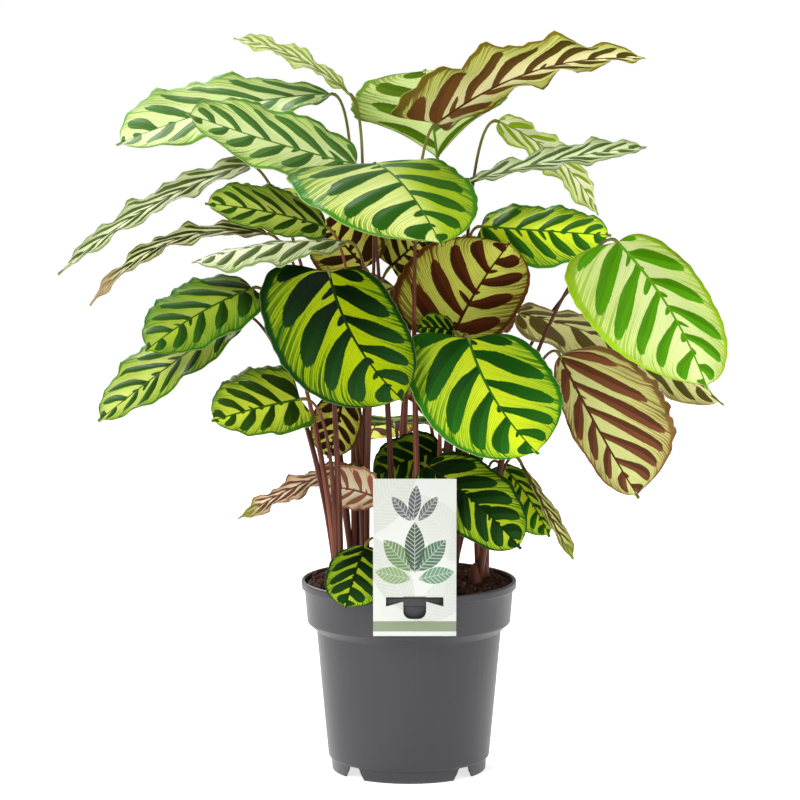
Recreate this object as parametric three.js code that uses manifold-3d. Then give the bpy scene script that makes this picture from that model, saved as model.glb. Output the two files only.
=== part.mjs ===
// A potted peacock plant: a round grey nursery pot, soil, a card hung on the rim, and a clump of
// broad patterned leaves, each on its own thin stalk. Millimetres, +Z up, the origin under the middle
// of the pot. The plant is seen from -Y.
import * as THREE from "three";
import { mergeVertices } from "three/addons/utils/BufferGeometryUtils.js";
import Module from "manifold-3d";

const wasm = await Module();
wasm.setup();

// Pot
const POT_HEIGHT = 152;
const RIM_RADIUS = 85;
const COLLAR_TOP_RADIUS = 82.7;
const COLLAR_LOW_RADIUS = 80.4;
const COLLAR_LOW = 118.7;
const LIP_LOW = 145;
const BODY_TOP = 110.6;
const BODY_TOP_RADIUS = 72.9;
const BODY_LOW = 10.6;
const BODY_LOW_RADIUS = 63.9;
const FOOT_RADIUS = 61;
const FOOT_TOP = 8.2;
const WALL = 1.7;
const FLOOR_TOP = 12.5;
const PAD_RADIUS = 16;
const PAD_SLOPE = 8;
const POT_SIDES = 40;
const RIM_SLOPE = 2;
const RIM_BEVEL = 1.2;
const NOTCH_LOW_WIDTH = 22;
const NOTCH_TOP_WIDTH = 11;
const NOTCH_HEIGHT = 9.6;
const NOTCH_SHOULDER = 4.3;
const NOTCH_SHOULDER_WIDTH = 15;
const NOTCH_DEPTH = 16;
const NOTCH_AZIMUTHS = [45, 135, 225, 315];
const DRAIN_RADIUS = 4;
const DRAIN_RING = 42;
const DRAIN_AZIMUTHS = [0, 90, 180, 270];
const DRAIN_SIDES = 12;

// Soil
const SOIL_GAP = 0.8;
const SOIL_EDGE = 149;
const SOIL_CROWN = 156;
const SOIL_SIDES = 30;
const SOIL_RINGS = [1, 0.85, 0.65, 0.35, 0];
const SLIT_GAP = 0.6;
const SLIT_SIZE = 20;

// Card
const CARD_LEFT = -27.7;
const CARD_WIDTH = 64;
const CARD_LOW = 122.4;
const CARD_HEIGHT = 122.4;
const CARD_THICKNESS = 0.7;
const CARD_BACK = -85.5;
const CARD_GAP = 0.6;
const SLOT_TOP = 152.7;
const SLOT_MIDDLE = 4.3;
const SLOT_WIDTH = 44.2;
const SLOT_INNER_DROP = 3.4;
const SLOT_WING_DROP = 7.3;
const TONGUE_WIDTH = 17.6;
const TONGUE_LENGTH = 17;
const TONGUE_CORNER = 6;
const TONGUE_BACK = -78;
const TONGUE_LOW = 144.2;
const TONGUE_BEND = 1.7;
const CORNER_STEPS = 4;
const TRIM_BACK = -80;
const TRIM_DEPTH = 8;

// Leaves and stalks
const BLADE_THICKNESS = 0.8;
const RIB_THICKNESS = 0.9;
const BLADE_STEPS = 8;
const BLADE_STRIPS = 4;
const BLADE_LEAST = 1.4;
const BLADE_END = 0.97;
const EVEN = [0, 0.35, 0.85];
const BLADE_SHOULDER = 2.5;
const BLADE_ROUND = 0.55;
const POINT_START = 0.8;
const POINT_TAPER = 0.4;
const STALK_TOP_RADIUS = 1.15;
const STALK_LOW_RADIUS = 2.1;
const STALK_SIDES = 5;
const STALK_STEPS = 7;
const STALK_GAP = 1;
const STALK_REACH = 28;
const STALK_RING = 3.8;
const STALK_SUNK = 2;
const STALK_LEAN = 0.12;
const STALK_RISE = 0.55;
const CROWN_RADIUS = 7;
const CROWN_TOP_RADIUS = 5;
const CROWN_TOP = 16;
const CROWN_DEPTH = 22;
const CROWN_GAP = 0.6;
const CROWN_SIDES = 8;
const HOLE_SIDES = 12;

// Shoots: where each one leaves the soil, x and y.
const SHOOTS = [
  [-52, -40],
  [-42, 24],
  [-32, 4],
  [-8, -10],
  [8, -38],
  [-8, 48],
  [34, 36],
  [52, -20],
  [22, 0],
  [58, 14],
];

// Leaves: name, shoot, base, tip, the way the upper face looks, then [half width left, right, bow,
// sway], [fold left, fold right, curl] and [twist, wave, waves]. Left and right are as seen on the
// upper face with the tip up. The midrib bows to the upper face and sways to the right. The halves
// fold up. A last pair, where there is one, bends the stalk aside in x and y, clear of its neighbours.
const LEAVES = [
  ["front_left", 0, [-61, -78, 402], [-4, -96, 306], [0.05, -1, 0.15],
    [42, 60, 6, 9], [-6, -8, -14], [0, 1, 3]],
  ["front_right", 8, [46, -62, 349], [99, -88, 264], [0.1, -1, 0.3],
    [52, 54, 6, 8], [-4, -4, -10], [0, 1, 3]],
  ["centre_under", 8, [33, -22, 346], [79, -5, 419], [-0.1, 1, 0.1],
    [38, 58, 4, 2], [4, 4, 0], [0, 1, 2]],
  ["top_centre", 3, [-26, -10, 481], [24, -145, 429], [0, -0.45, 0.9],
    [50, 82, 12, 0], [0, 6, -6], [0, 2, 3]],
  ["upper_left", 2, [-42, 22, 478], [-172, -28, 521], [-0.1, -0.8, 0.7],
    [38, 39, -3, 0], [18, -4, -8], [0, 3, 3]],
  ["far_left", 1, [-63, 88, 530], [-232, 52, 491], [0, -0.6, 0.8],
    [42, 45, 11, 0], [20, 0, -8], [0, 3, 3], [0, -50]],
  ["top_curl", 1, [-47, 40, 533], [-138, 40, 576], [0.1, -0.5, 1],
    [15, 11, 9, 0], [10, 10, 0], [6, 3, 3]],
  ["back_top", 6, [23, 86, 479], [13, 122, 548], [0, -1, 0.4],
    [64, 64, 8, 0], [4, 4, 6], [0, 3, 3], [0, -50]],
  ["top_right", 4, [22, 24, 511], [182, -15, 563], [-0.15, 0.45, 0.85],
    [26, 48, 18, 0], [-4, 10, 6], [0, 5, 4], [-8, -60]],
  ["right_edge", 9, [46, 20, 464], [185, 0, 493], [0, -0.3, 1],
    [22, 27, 4, 0], [8, 8, 0], [20, 2, 4]],
  ["right_back", 6, [72, 64, 509], [152, 74, 434], [0.4, -0.5, 0.8],
    [24, 20, 12, 0], [0, -8, -8], [0, 3, 3]],
  ["right_mid", 9, [58, 36, 428], [158, 0, 424], [0.1, -0.75, 0.7],
    [30, 33, 0, 0], [-4, -8, -8], [0, 2, 3]],
  ["right_pale", 7, [160, -60, 424], [227, -95, 315], [0.1, -1, 0.3],
    [34, 58, 6, -6], [-4, -4, -8], [0, 1, 3]],
  ["right_under", 7, [118, -18, 331], [180, -25, 220], [0.1, 1, 0.2],
    [20, 60, 6, -3], [-20, -6, 0], [0, 4, 3]],
  ["right_long", 6, [88, 33, 360], [248, 3, 290], [0, 0.55, 0.85],
    [43, 40, 12, 0], [-8, -12, 0], [0, 3, 4]],
  ["left_far", 1, [-129, 26, 477], [-274, -8, 394], [-0.35, -0.5, 0.8],
    [15, 17, 11, 0], [8, 6, 0], [0, 2.5, 4]],
  ["left_far2", 1, [-112, 20, 424], [-250, 0, 369], [-0.2, -0.5, 0.85],
    [12, 12, 27, 0], [10, 6, 0], [0, 2.5, 4]],
  ["left_dark", 2, [-66, 12, 430], [-158, -24, 451], [0, -0.7, 0.7],
    [20, 34, 4, 0], [0, -6, -8], [0, 2, 3]],
  ["left_flat", 2, [-49, -50, 424], [-166, -75, 410], [0, -0.3, 1],
    [28, 28, 6, 0], [0, -14, -20], [0, 3, 3]],
  ["left_green", 0, [-121, -52, 388], [-200, -100, 345], [-0.3, -0.8, 0.6],
    [30, 40, 6, 0], [0, -6, -10], [0, 2, 3]],
  ["left_low", 0, [-133, -40, 364], [-239, -70, 287], [-0.4, -0.7, 0.6],
    [24, 40, 2, 0], [10, -6, -8], [0, 3, 3]],
  ["left_lower", 0, [-84, -69, 304], [-150, -104, 292], [-0.1, -0.8, 0.6],
    [26, 44, 2, 0], [-4, -8, -8], [0, 2, 3]],
  ["low_left", 2, [-48, 2, 242], [-134, -20, 203], [-0.2, 0.7, 0.6],
    [10, 14, 5, 0], [0, 0, 0], [0, 3, 3]],
  ["low_under", 2, [-23, -22, 220], [-68, -27, 230], [0, 0.8, 0.5],
    [24, 21, 4, 0], [0, 0, 0], [0, 1, 2]],
  ["pot_front", 3, [-34, -50, 186], [-49, -84, 144], [-0.2, -1, 0.5],
    [27, 23, 4, 0], [0, 0, -10], [0, 1, 2]],
  ["low_right", 4, [14, -48, 249], [86, -84, 190], [0.2, -0.8, 0.5],
    [36, 28, 8, 0], [-4, -8, -10], [0, 2, 3]],
  ["low_right_back", 9, [74, 22, 239], [111, -4, 186], [0.3, -0.7, 0.6],
    [13, 25, 6, 0], [0, 0, -10], [0, 2, 3]],
  ["low_right_edge", 7, [89, 4, 243], [129, -20, 171], [0.3, 0.9, 0.2],
    [5, 7, 0, 0], [15, 15, 0], [0, 2, 3], [2, -10]],
  ["mid_under_left", 1, [-35, 30, 396], [-70, 24, 433], [0, 1, 0.3],
    [30, 30, 4, 0], [0, 0, 0], [0, 1, 2]],
  ["mid_under_right", 1, [-14, 44, 396], [12, 40, 418], [0, 1, 0.3],
    [24, 24, 3, 0], [0, 0, 0], [0, 1, 2]],
  ["mid_dark", 8, [34, -39, 353], [6, -46, 356], [0, -0.7, 0.7],
    [15, 15, 3, 0], [0, 0, 0], [0, 1, 2]],
  ["low_mid_left", 2, [-52, -18, 296], [-63, -18, 251], [0, 1, 0.3],
    [20, 19, -2, 0], [0, 0, 0], [0, 1, 2]],
  ["low_mid_right", 6, [25, 30, 250], [-29, 22, 229], [0, -0.7, 0.7],
    [25, 25, 4, 0], [0, 0, 0], [0, 1, 2]],
  ["back_left_high", 1, [-56, 60, 474], [-138, 130, 483], [-0.1, 0.4, 0.9],
    [38, 38, 12, 0], [0, 0, -8], [0, 3, 3]],
  ["back_mid_left", 5, [-12, 76, 376], [-97, 135, 322], [-0.2, 0.8, 0.5],
    [42, 42, 8, 0], [0, 0, -8], [0, 2, 3]],
  ["back_centre", 5, [4, 70, 406], [4, 160, 460], [0, -0.3, 0.95],
    [36, 36, 12, 0], [0, 0, -8], [0, 2, 3]],
  ["back_mid_right", 6, [55, 68, 366], [31, 142, 321], [0, 0.8, 0.6],
    [42, 42, 8, 0], [0, 0, -8], [0, 2, 3]],
  ["back_right", 6, [152, 98, 383], [231, 140, 321], [0.3, 0.6, 0.7],
    [36, 36, 8, 0], [0, 0, -8], [0, 3, 3]],
  ["back_low", 6, [17, 66, 310], [75, 130, 252], [0.2, 0.8, 0.5],
    [42, 42, 6, 0], [0, 0, -8], [0, 2, 3]],
  ["back_low_left", 1, [-35, 50, 344], [-72, 110, 284], [-0.2, 0.8, 0.5],
    [40, 40, 6, 0], [0, 0, -8], [0, 2, 3]],
  ["back_far_left", 1, [-76, 92, 440], [-148, 205, 424], [-0.1, 0.2, 1],
    [44, 44, 16, 0], [4, 4, -10], [0, 4, 3], [-20, -50]],
  ["back_far_right", 6, [66, 92, 404], [118, 205, 380], [0.1, 0.2, 1],
    [42, 42, 14, 0], [4, 4, -10], [0, 4, 3], [30, -24]],
  ["back_far_mid", 5, [-12, 98, 262], [-34, 205, 232], [0, 0.3, 1],
    [42, 42, 12, 0], [4, 4, -10], [0, 4, 3]],
  ["back_low_pot", 5, [3, 66, 188], [18, 118, 132], [0, 1, 0.5],
    [24, 24, 4, 0], [0, 0, -8], [0, 1, 2]],
];

// Leaves whose halves are uneven: how far the right half sits ahead of the left, how far the
// base lobes reach back, and the skew, smaller where the blade is widest nearer its base.
const UNEVEN = {
  front_left: [-0.25, 0.42, 0.72],
  front_right: [-0.28, 0.4, 0.7],
  centre_under: [-0.25, 0.2, 0.85],
  top_centre: [-0.1, 0.5, 0.85],
  right_pale: [-0.3, 0.42, 0.85],
  top_right: [-0.3, 0.35, 0.38],
  back_top: [0, -0.8, 1.2],
  far_left: [0.15, 0.35, 1.5],
  left_flat: [0, 0.35, 1.3],
  left_lower: [0, 0.35, 0.5],
  pot_front: [0, 0.35, 1.1],
  left_far: [0, 0.35, 0.52],
  left_far2: [0, 0.35, 0.75],
  top_curl: [0, 0.35, 1.35],
  right_under: [0, 0.35, 1.15],
  low_under: [0, 0.35, 1.15],
  low_right_edge: [0, 0.35, 1.9],
};

const radians = THREE.MathUtils.degToRad;

// A solid from a closed mesh, and a mesh from a solid
function solid(geometry) {
  const bare = geometry.index ? geometry.toNonIndexed() : geometry;
  bare.deleteAttribute("normal");
  bare.deleteAttribute("uv");
  const merged = mergeVertices(bare, 1e-4);
  return new wasm.Manifold(new wasm.Mesh({
    numProp: 3,
    vertProperties: merged.attributes.position.array,
    triVerts: new Uint32Array(merged.index.array),
  }));
}

function surfaceOf(body) {
  const { vertProperties, triVerts } = body.getMesh();
  const geometry = new THREE.BufferGeometry();
  geometry.setAttribute("position", new THREE.BufferAttribute(vertProperties, 3));
  geometry.setIndex(new THREE.BufferAttribute(triVerts, 1));
  return geometry;
}

// A lathe about Z from [radius, height] pairs
function turned(profile, sides) {
  const points = profile.map(([radius, height]) => new THREE.Vector2(radius, height));
  return new THREE.LatheGeometry(points, sides).rotateX(Math.PI / 2);
}

// A closed surface from rings of points, each ring in the same order
function skinned(rings) {
  const sides = rings[0].length;
  const positions = rings.flat().flatMap((point) => point.toArray());
  const index = [];
  for (let ring = 0; ring + 1 < rings.length; ring += 1) {
    for (let side = 0; side < sides; side += 1) {
      const here = ring * sides + side;
      const beside = ring * sides + (side + 1) % sides;
      index.push(here, beside, beside + sides);
      index.push(here, beside + sides, here + sides);
    }
  }
  const last = (rings.length - 1) * sides;
  for (let side = 1; side + 1 < sides; side += 1) {
    index.push(0, side + 1, side);
    index.push(last, last + side, last + side + 1);
  }
  const geometry = new THREE.BufferGeometry();
  geometry.setAttribute("position", new THREE.Float32BufferAttribute(positions, 3));
  geometry.setIndex(index);
  return geometry;
}

// The pot: foot ring, raised floor with a pressed pad in the middle, body, collar and rolled lip
function potGeometry() {
  const floorLow = FLOOR_TOP - WALL;
  let pot = solid(turned([
    [0, 0],
    [PAD_RADIUS, 0],
    [PAD_RADIUS + PAD_SLOPE, floorLow],
    [FOOT_RADIUS - WALL, floorLow],
    [FOOT_RADIUS - WALL, 0],
    [FOOT_RADIUS, 0],
    [FOOT_RADIUS, FOOT_TOP],
    [BODY_LOW_RADIUS, BODY_LOW],
    [BODY_TOP_RADIUS, BODY_TOP],
    [COLLAR_LOW_RADIUS, COLLAR_LOW],
    [COLLAR_TOP_RADIUS, LIP_LOW],
    [RIM_RADIUS, LIP_LOW + RIM_SLOPE],
    [RIM_RADIUS, POT_HEIGHT - RIM_BEVEL],
    [RIM_RADIUS - RIM_BEVEL, POT_HEIGHT],
    [RIM_RADIUS - 2 * RIM_BEVEL, POT_HEIGHT],
    [COLLAR_TOP_RADIUS - WALL, LIP_LOW],
    [COLLAR_LOW_RADIUS - WALL, COLLAR_LOW + WALL],
    [BODY_TOP_RADIUS - WALL, BODY_TOP + WALL],
    [BODY_LOW_RADIUS - WALL, FLOOR_TOP],
    [PAD_RADIUS + PAD_SLOPE + WALL / 2, FLOOR_TOP],
    [PAD_RADIUS + WALL / 2, WALL],
    [0, WALL],
  ], POT_SIDES));
  for (const azimuth of NOTCH_AZIMUTHS) {
    const gate = new THREE.Shape([
      new THREE.Vector2(-NOTCH_LOW_WIDTH / 2, -1),
      new THREE.Vector2(NOTCH_LOW_WIDTH / 2, -1),
      new THREE.Vector2(NOTCH_SHOULDER_WIDTH / 2, NOTCH_SHOULDER),
      new THREE.Vector2(NOTCH_TOP_WIDTH / 2, NOTCH_HEIGHT),
      new THREE.Vector2(-NOTCH_TOP_WIDTH / 2, NOTCH_HEIGHT),
      new THREE.Vector2(-NOTCH_SHOULDER_WIDTH / 2, NOTCH_SHOULDER),
    ]);
    const block = new THREE.ExtrudeGeometry(gate, { depth: NOTCH_DEPTH, bevelEnabled: false });
    block.rotateX(Math.PI / 2).translate(0, FOOT_RADIUS + 0.4 * NOTCH_DEPTH, 0);
    block.rotateZ(radians(azimuth - 90));
    pot = pot.subtract(solid(block));
  }
  for (const azimuth of DRAIN_AZIMUTHS) {
    const drill = new THREE.CylinderGeometry(DRAIN_RADIUS, DRAIN_RADIUS, WALL * 4, DRAIN_SIDES);
    drill.rotateX(Math.PI / 2).translate(DRAIN_RING, 0, FLOOR_TOP).rotateZ(radians(azimuth));
    pot = pot.subtract(solid(drill));
  }
  return surfaceOf(pot);
}

// The soil heaps up toward the middle. Each shoot stands in a hole of its own, and the card's tongue
// reaches into a slit at the wall.
function soilHeight(x, y) {
  const share = Math.hypot(x, y) / (COLLAR_TOP_RADIUS - WALL);
  return SOIL_CROWN - (SOIL_CROWN - SOIL_EDGE) * share ** 2;
}

function soilGeometry() {
  const inner = WALL + SOIL_GAP;
  const top = SOIL_RINGS.map((share) => {
    const radius = (COLLAR_TOP_RADIUS - inner) * share;
    return [radius, soilHeight(radius, 0)];
  });
  let soil = solid(turned([
    [0, inner],
    [PAD_RADIUS - SOIL_GAP / 2, inner],
    [PAD_RADIUS + PAD_SLOPE + SOIL_GAP, FLOOR_TOP + SOIL_GAP],
    [BODY_LOW_RADIUS - inner, FLOOR_TOP + SOIL_GAP],
    [BODY_TOP_RADIUS - inner, BODY_TOP + inner],
    [COLLAR_LOW_RADIUS - inner, COLLAR_LOW + inner],
    ...top,
  ], SOIL_SIDES));
  for (const [x, y] of SHOOTS) {
    const radius = CROWN_RADIUS + CROWN_GAP;
    const hole = new THREE.CylinderGeometry(radius, radius, 3 * CROWN_DEPTH, HOLE_SIDES);
    hole.rotateX(Math.PI / 2).translate(x, y, soilHeight(x, y) - CROWN_GAP + CROWN_DEPTH / 2);
    soil = soil.subtract(solid(hole));
  }
  const slit = new THREE.BoxGeometry(TONGUE_WIDTH + 2 * SLIT_GAP, SLIT_SIZE, SLIT_SIZE);
  slit.translate(SLOT_MIDDLE, TONGUE_BACK + SLIT_GAP - SLIT_SIZE / 2,
    TONGUE_LOW - SLIT_GAP + SLIT_SIZE / 2);
  return surfaceOf(soil.subtract(solid(slit)));
}

// The card hangs by a tee-shaped tongue, cut from its own middle, that lies on the rim and turns down.
function cardGeometry() {
  const face = new THREE.Shape();
  face.moveTo(CARD_LEFT, CARD_LOW);
  face.lineTo(CARD_LEFT + CARD_WIDTH, CARD_LOW);
  face.lineTo(CARD_LEFT + CARD_WIDTH, CARD_LOW + CARD_HEIGHT);
  face.lineTo(CARD_LEFT, CARD_LOW + CARD_HEIGHT);
  face.closePath();
  const slot = new THREE.Path();
  const half = TONGUE_WIDTH / 2;
  const low = SLOT_TOP - TONGUE_LENGTH;
  slot.moveTo(SLOT_MIDDLE - SLOT_WIDTH / 2, SLOT_TOP);
  slot.lineTo(SLOT_MIDDLE - SLOT_WIDTH / 2, SLOT_TOP - SLOT_WING_DROP);
  slot.lineTo(SLOT_MIDDLE - half, SLOT_TOP - SLOT_INNER_DROP);
  slot.lineTo(SLOT_MIDDLE - half, low + TONGUE_CORNER);
  slot.quadraticCurveTo(SLOT_MIDDLE - half, low, SLOT_MIDDLE - half + TONGUE_CORNER, low);
  slot.lineTo(SLOT_MIDDLE + half - TONGUE_CORNER, low);
  slot.quadraticCurveTo(SLOT_MIDDLE + half, low, SLOT_MIDDLE + half, low + TONGUE_CORNER);
  slot.lineTo(SLOT_MIDDLE + half, SLOT_TOP - SLOT_INNER_DROP);
  slot.lineTo(SLOT_MIDDLE + SLOT_WIDTH / 2, SLOT_TOP - SLOT_WING_DROP);
  slot.lineTo(SLOT_MIDDLE + SLOT_WIDTH / 2, SLOT_TOP);
  slot.closePath();
  face.holes.push(slot);
  const plate = new THREE.ExtrudeGeometry(face, {
    depth: CARD_THICKNESS, bevelEnabled: false, curveSegments: CORNER_STEPS,
  }).rotateX(Math.PI / 2).translate(0, CARD_BACK, 0);

  // The tongue in side view: [y, z] along its upper face, then back along its lower face.
  const bend = POT_HEIGHT + CARD_GAP;
  const inside = TONGUE_BACK - CARD_THICKNESS;
  const side = [
    [CARD_BACK - CARD_THICKNESS, SLOT_TOP + CARD_THICKNESS],
    [CARD_BACK - CARD_THICKNESS, SLOT_TOP],
    [CARD_BACK + CARD_THICKNESS, bend],
    [inside - TONGUE_BEND + CARD_THICKNESS, bend],
    [inside, bend - TONGUE_BEND + CARD_THICKNESS],
    [inside, TONGUE_LOW],
    [TONGUE_BACK, TONGUE_LOW],
    [TONGUE_BACK, bend - TONGUE_BEND + CARD_THICKNESS],
    [TONGUE_BACK - TONGUE_BEND, bend + CARD_THICKNESS],
    [CARD_BACK + CARD_THICKNESS, bend + CARD_THICKNESS],
  ];
  const profile = new THREE.Shape(side.map(([y, z]) => new THREE.Vector2(y, z)));
  const strap = new THREE.ExtrudeGeometry(profile, { depth: SLOT_WIDTH, bevelEnabled: false });
  strap.rotateX(Math.PI / 2).rotateZ(Math.PI / 2).translate(SLOT_MIDDLE - SLOT_WIDTH / 2, 0, 0);
  let tongue = solid(strap);
  for (const way of [-1, 1]) {
    const width = SLOT_WIDTH / 2;
    const trim = new THREE.BoxGeometry(width, TRIM_DEPTH, 2 * TONGUE_LENGTH);
    trim.translate(SLOT_MIDDLE + way * (half + width / 2), TRIM_BACK + TRIM_DEPTH / 2, POT_HEIGHT);
    tongue = tongue.subtract(solid(trim));
  }
  return surfaceOf(solid(plate).add(tongue));
}

// Half the blade's width at s along the midrib, 0 at the stalk and 1 at the tip, as a share of full
function outline(s, skew) {
  const from = 2 * Math.min(1, s / BLADE_END) ** skew - 1;
  const body = Math.max(0, 1 - Math.abs(from) ** BLADE_SHOULDER) ** BLADE_ROUND;
  const point = s > POINT_START ? POINT_TAPER * (1 - s) : 0;
  return Math.max(body, point);
}

// A leaf's midrib as a curve, with the way its upper face looks at the middle
function midrib(leaf) {
  const [, , base, tip, facing, [, , bow, sway]] = leaf;
  const start = new THREE.Vector3(...base);
  const end = new THREE.Vector3(...tip);
  const chord = end.clone().sub(start).normalize();
  const up = new THREE.Vector3(...facing).projectOnPlane(chord).normalize();
  const across = new THREE.Vector3().crossVectors(chord, up);
  const control = start.clone().add(end).divideScalar(2);
  control.addScaledVector(up, 2 * bow).addScaledVector(across, 2 * sway);
  return { curve: new THREE.QuadraticBezierCurve3(start, control, end), up };
}

// A point in the middle of the blade's thickness: s runs from the stalk to the tip, t from the left
// margin at -1 to the right margin at 1.
function bladePoint(leaf, rib, s, t) {
  const [name, , , , , [left, right], [foldLeft, foldRight, curl], [twist, wave, waves]] = leaf;
  const along = rib.curve.getTangent(s);
  const up = rib.up.clone().projectOnPlane(along).normalize();
  const across = new THREE.Vector3().crossVectors(along, up);
  const turn = radians(twist) * (s - 0.5);
  const lift = up.clone().multiplyScalar(Math.cos(turn)).addScaledVector(across, Math.sin(turn));
  const out = across.clone().multiplyScalar(Math.cos(turn)).addScaledVector(up, -Math.sin(turn));
  const side = Math.sign(t);
  const share = Math.abs(t);
  const [lean, lobe, skew] = UNEVEN[name] ?? EVEN;
  const half = Math.max(BLADE_LEAST, (side > 0 ? right : left) * outline(s, skew));
  const fold = radians(side > 0 ? foldRight : foldLeft);
  const bend = radians(curl) + 1e-6;
  const flat = (Math.sin(fold + bend * share) - Math.sin(fold)) / bend;
  const rise = (Math.cos(fold) - Math.cos(fold + bend * share)) / bend;
  const letters = [...name].reduce((sum, letter) => sum + letter.charCodeAt(0), 0) % 97;
  const swing = Math.sin(2 * Math.PI * (waves * s + 0.25 * side + 0.37 * letters));
  const ripple = wave * share ** 2 * Math.sqrt(Math.max(0, Math.sin(Math.PI * s))) * swing;
  const ahead = half * (lean * flat * side - lobe * share * (1 - s) ** 4);
  return rib.curve.getPoint(s)
    .addScaledVector(out, half * flat * side)
    .addScaledVector(lift, half * rise + ripple)
    .addScaledVector(along, ahead);
}

// The blade: its middle surface raised and lowered by half its thickness, with a keel under the midrib
function bladeGeometry(leaf) {
  const rib = midrib(leaf);
  const columns = BLADE_STRIPS + 1;
  const middle = [];
  for (let row = 0; row <= BLADE_STEPS; row += 1) {
    const s = (1 - Math.cos((Math.PI * row) / BLADE_STEPS)) / 2;
    for (let column = 0; column < columns; column += 1) {
      middle.push(bladePoint(leaf, rib, s, (2 * column) / BLADE_STRIPS - 1));
    }
  }
  const at = (row, column) => row * columns + column;
  const normals = middle.map((_, place) => {
    const row = Math.floor(place / columns);
    const column = place % columns;
    const before = middle[at(Math.max(row - 1, 0), column)];
    const after = middle[at(Math.min(row + 1, BLADE_STEPS), column)];
    const left = middle[at(row, Math.max(column - 1, 0))];
    const right = middle[at(row, Math.min(column + 1, columns - 1))];
    const across = right.clone().sub(left);
    return across.cross(after.clone().sub(before)).normalize();
  });
  const upper = middle.map((point, place) => {
    return point.clone().addScaledVector(normals[place], BLADE_THICKNESS / 2);
  });
  const lower = middle.map((point, place) => {
    const keel = place % columns === BLADE_STRIPS / 2 ? RIB_THICKNESS : 0;
    return point.clone().addScaledVector(normals[place], -BLADE_THICKNESS / 2 - keel);
  });
  const under = middle.length;
  const index = [];
  for (let row = 0; row < BLADE_STEPS; row += 1) {
    for (let column = 0; column < BLADE_STRIPS; column += 1) {
      const a = at(row, column);
      const b = at(row, column + 1);
      const c = at(row + 1, column + 1);
      const d = at(row + 1, column);
      index.push(a, b, c, a, c, d);
      index.push(under + a, under + c, under + b, under + a, under + d, under + c);
    }
  }
  const edge = [];
  for (let column = 0; column < BLADE_STRIPS; column += 1) edge.push(at(0, column));
  for (let row = 0; row < BLADE_STEPS; row += 1) edge.push(at(row, BLADE_STRIPS));
  for (let column = BLADE_STRIPS; column > 0; column -= 1) edge.push(at(BLADE_STEPS, column));
  for (let row = BLADE_STEPS; row > 0; row -= 1) edge.push(at(row, 0));
  edge.forEach((here, place) => {
    const next = edge[(place + 1) % edge.length];
    index.push(next, here, under + here, next, under + here, under + next);
  });
  const geometry = new THREE.BufferGeometry();
  const positions = [...upper, ...lower].flatMap((point) => point.toArray());
  geometry.setAttribute("position", new THREE.Float32BufferAttribute(positions, 3));
  geometry.setIndex(index);
  return geometry;
}

// One stalk: a thin tapering tube that rises from the crown and comes to the blade along its midrib
function stalkGeometry(leaf, shoot) {
  const rib = midrib(leaf);
  const along = rib.curve.getTangent(0);
  const end = rib.curve.getPoint(0).addScaledVector(along, -STALK_GAP);
  const lean = new THREE.Vector2(end.x - shoot[0], end.y - shoot[1]);
  const foot = lean.clone().setLength(STALK_RING);
  const top = soilHeight(...shoot);
  const root = new THREE.Vector3(shoot[0] + foot.x, shoot[1] + foot.y, top - STALK_SUNK);
  const rise = (end.z - root.z) * STALK_RISE;
  const [bendX, bendY] = leaf[8] ?? [0, 0];
  const path = new THREE.CubicBezierCurve3(
    root,
    root.clone().add(new THREE.Vector3(lean.x * STALK_LEAN + bendX, lean.y * STALK_LEAN + bendY, rise)),
    end.clone().addScaledVector(along, -STALK_REACH),
    end,
  );
  const normal = new THREE.Vector3(1, 0, 0);
  const rings = [];
  for (let step = 0; step <= STALK_STEPS; step += 1) {
    const share = step / STALK_STEPS;
    const centre = path.getPoint(share);
    const tangent = path.getTangent(share);
    normal.projectOnPlane(tangent).normalize();
    const binormal = new THREE.Vector3().crossVectors(tangent, normal);
    const radius = THREE.MathUtils.lerp(STALK_LOW_RADIUS, STALK_TOP_RADIUS, share);
    const ring = [];
    for (let side = 0; side < STALK_SIDES; side += 1) {
      const angle = (2 * Math.PI * side) / STALK_SIDES;
      ring.push(centre.clone()
        .addScaledVector(normal, radius * Math.cos(angle))
        .addScaledVector(binormal, radius * Math.sin(angle)));
    }
    rings.push(ring);
  }
  return skinned(rings);
}

// A shoot: its crown, sunk in the soil, with the stalks of its leaves grown out of it
function shootGeometry(shoot, leaves) {
  const height = CROWN_TOP + CROWN_DEPTH;
  const crown = new THREE.CylinderGeometry(CROWN_TOP_RADIUS, CROWN_RADIUS, height, CROWN_SIDES);
  crown.rotateX(Math.PI / 2).translate(...shoot, soilHeight(...shoot) + CROWN_TOP - height / 2);
  let body = solid(crown);
  for (const leaf of leaves) body = body.add(solid(stalkGeometry(leaf, shoot)));
  return surfaceOf(body);
}

const MATERIALS = {
  pot: { color: 0x5d5c60, roughness: 0.42, metalness: 0 },
  soil: { color: 0x33231a, roughness: 0.98, metalness: 0 },
  card: { color: 0xeef1ea, roughness: 0.55, metalness: 0 },
  blade: { color: 0x5f8f2a, roughness: 0.45, metalness: 0 },
  stalk: { color: 0x5f3226, roughness: 0.5, metalness: 0 },
};

const plant = new THREE.Group();

function place(name, geometry, look) {
  const mesh = new THREE.Mesh(geometry, new THREE.MeshStandardMaterial(MATERIALS[look]));
  mesh.name = name;
  plant.add(mesh);
}

place("pot", potGeometry(), "pot");
place("soil", soilGeometry(), "soil");
place("card", cardGeometry(), "card");
SHOOTS.forEach((shoot, number) => {
  const leaves = LEAVES.filter((leaf) => leaf[1] === number);
  place(`stalks_${number + 1}`, shootGeometry(shoot, leaves), "stalk");
});
for (const leaf of LEAVES) place(`leaf_${leaf[0]}`, bladeGeometry(leaf), "blade");

export default plant;
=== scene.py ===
import math

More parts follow.
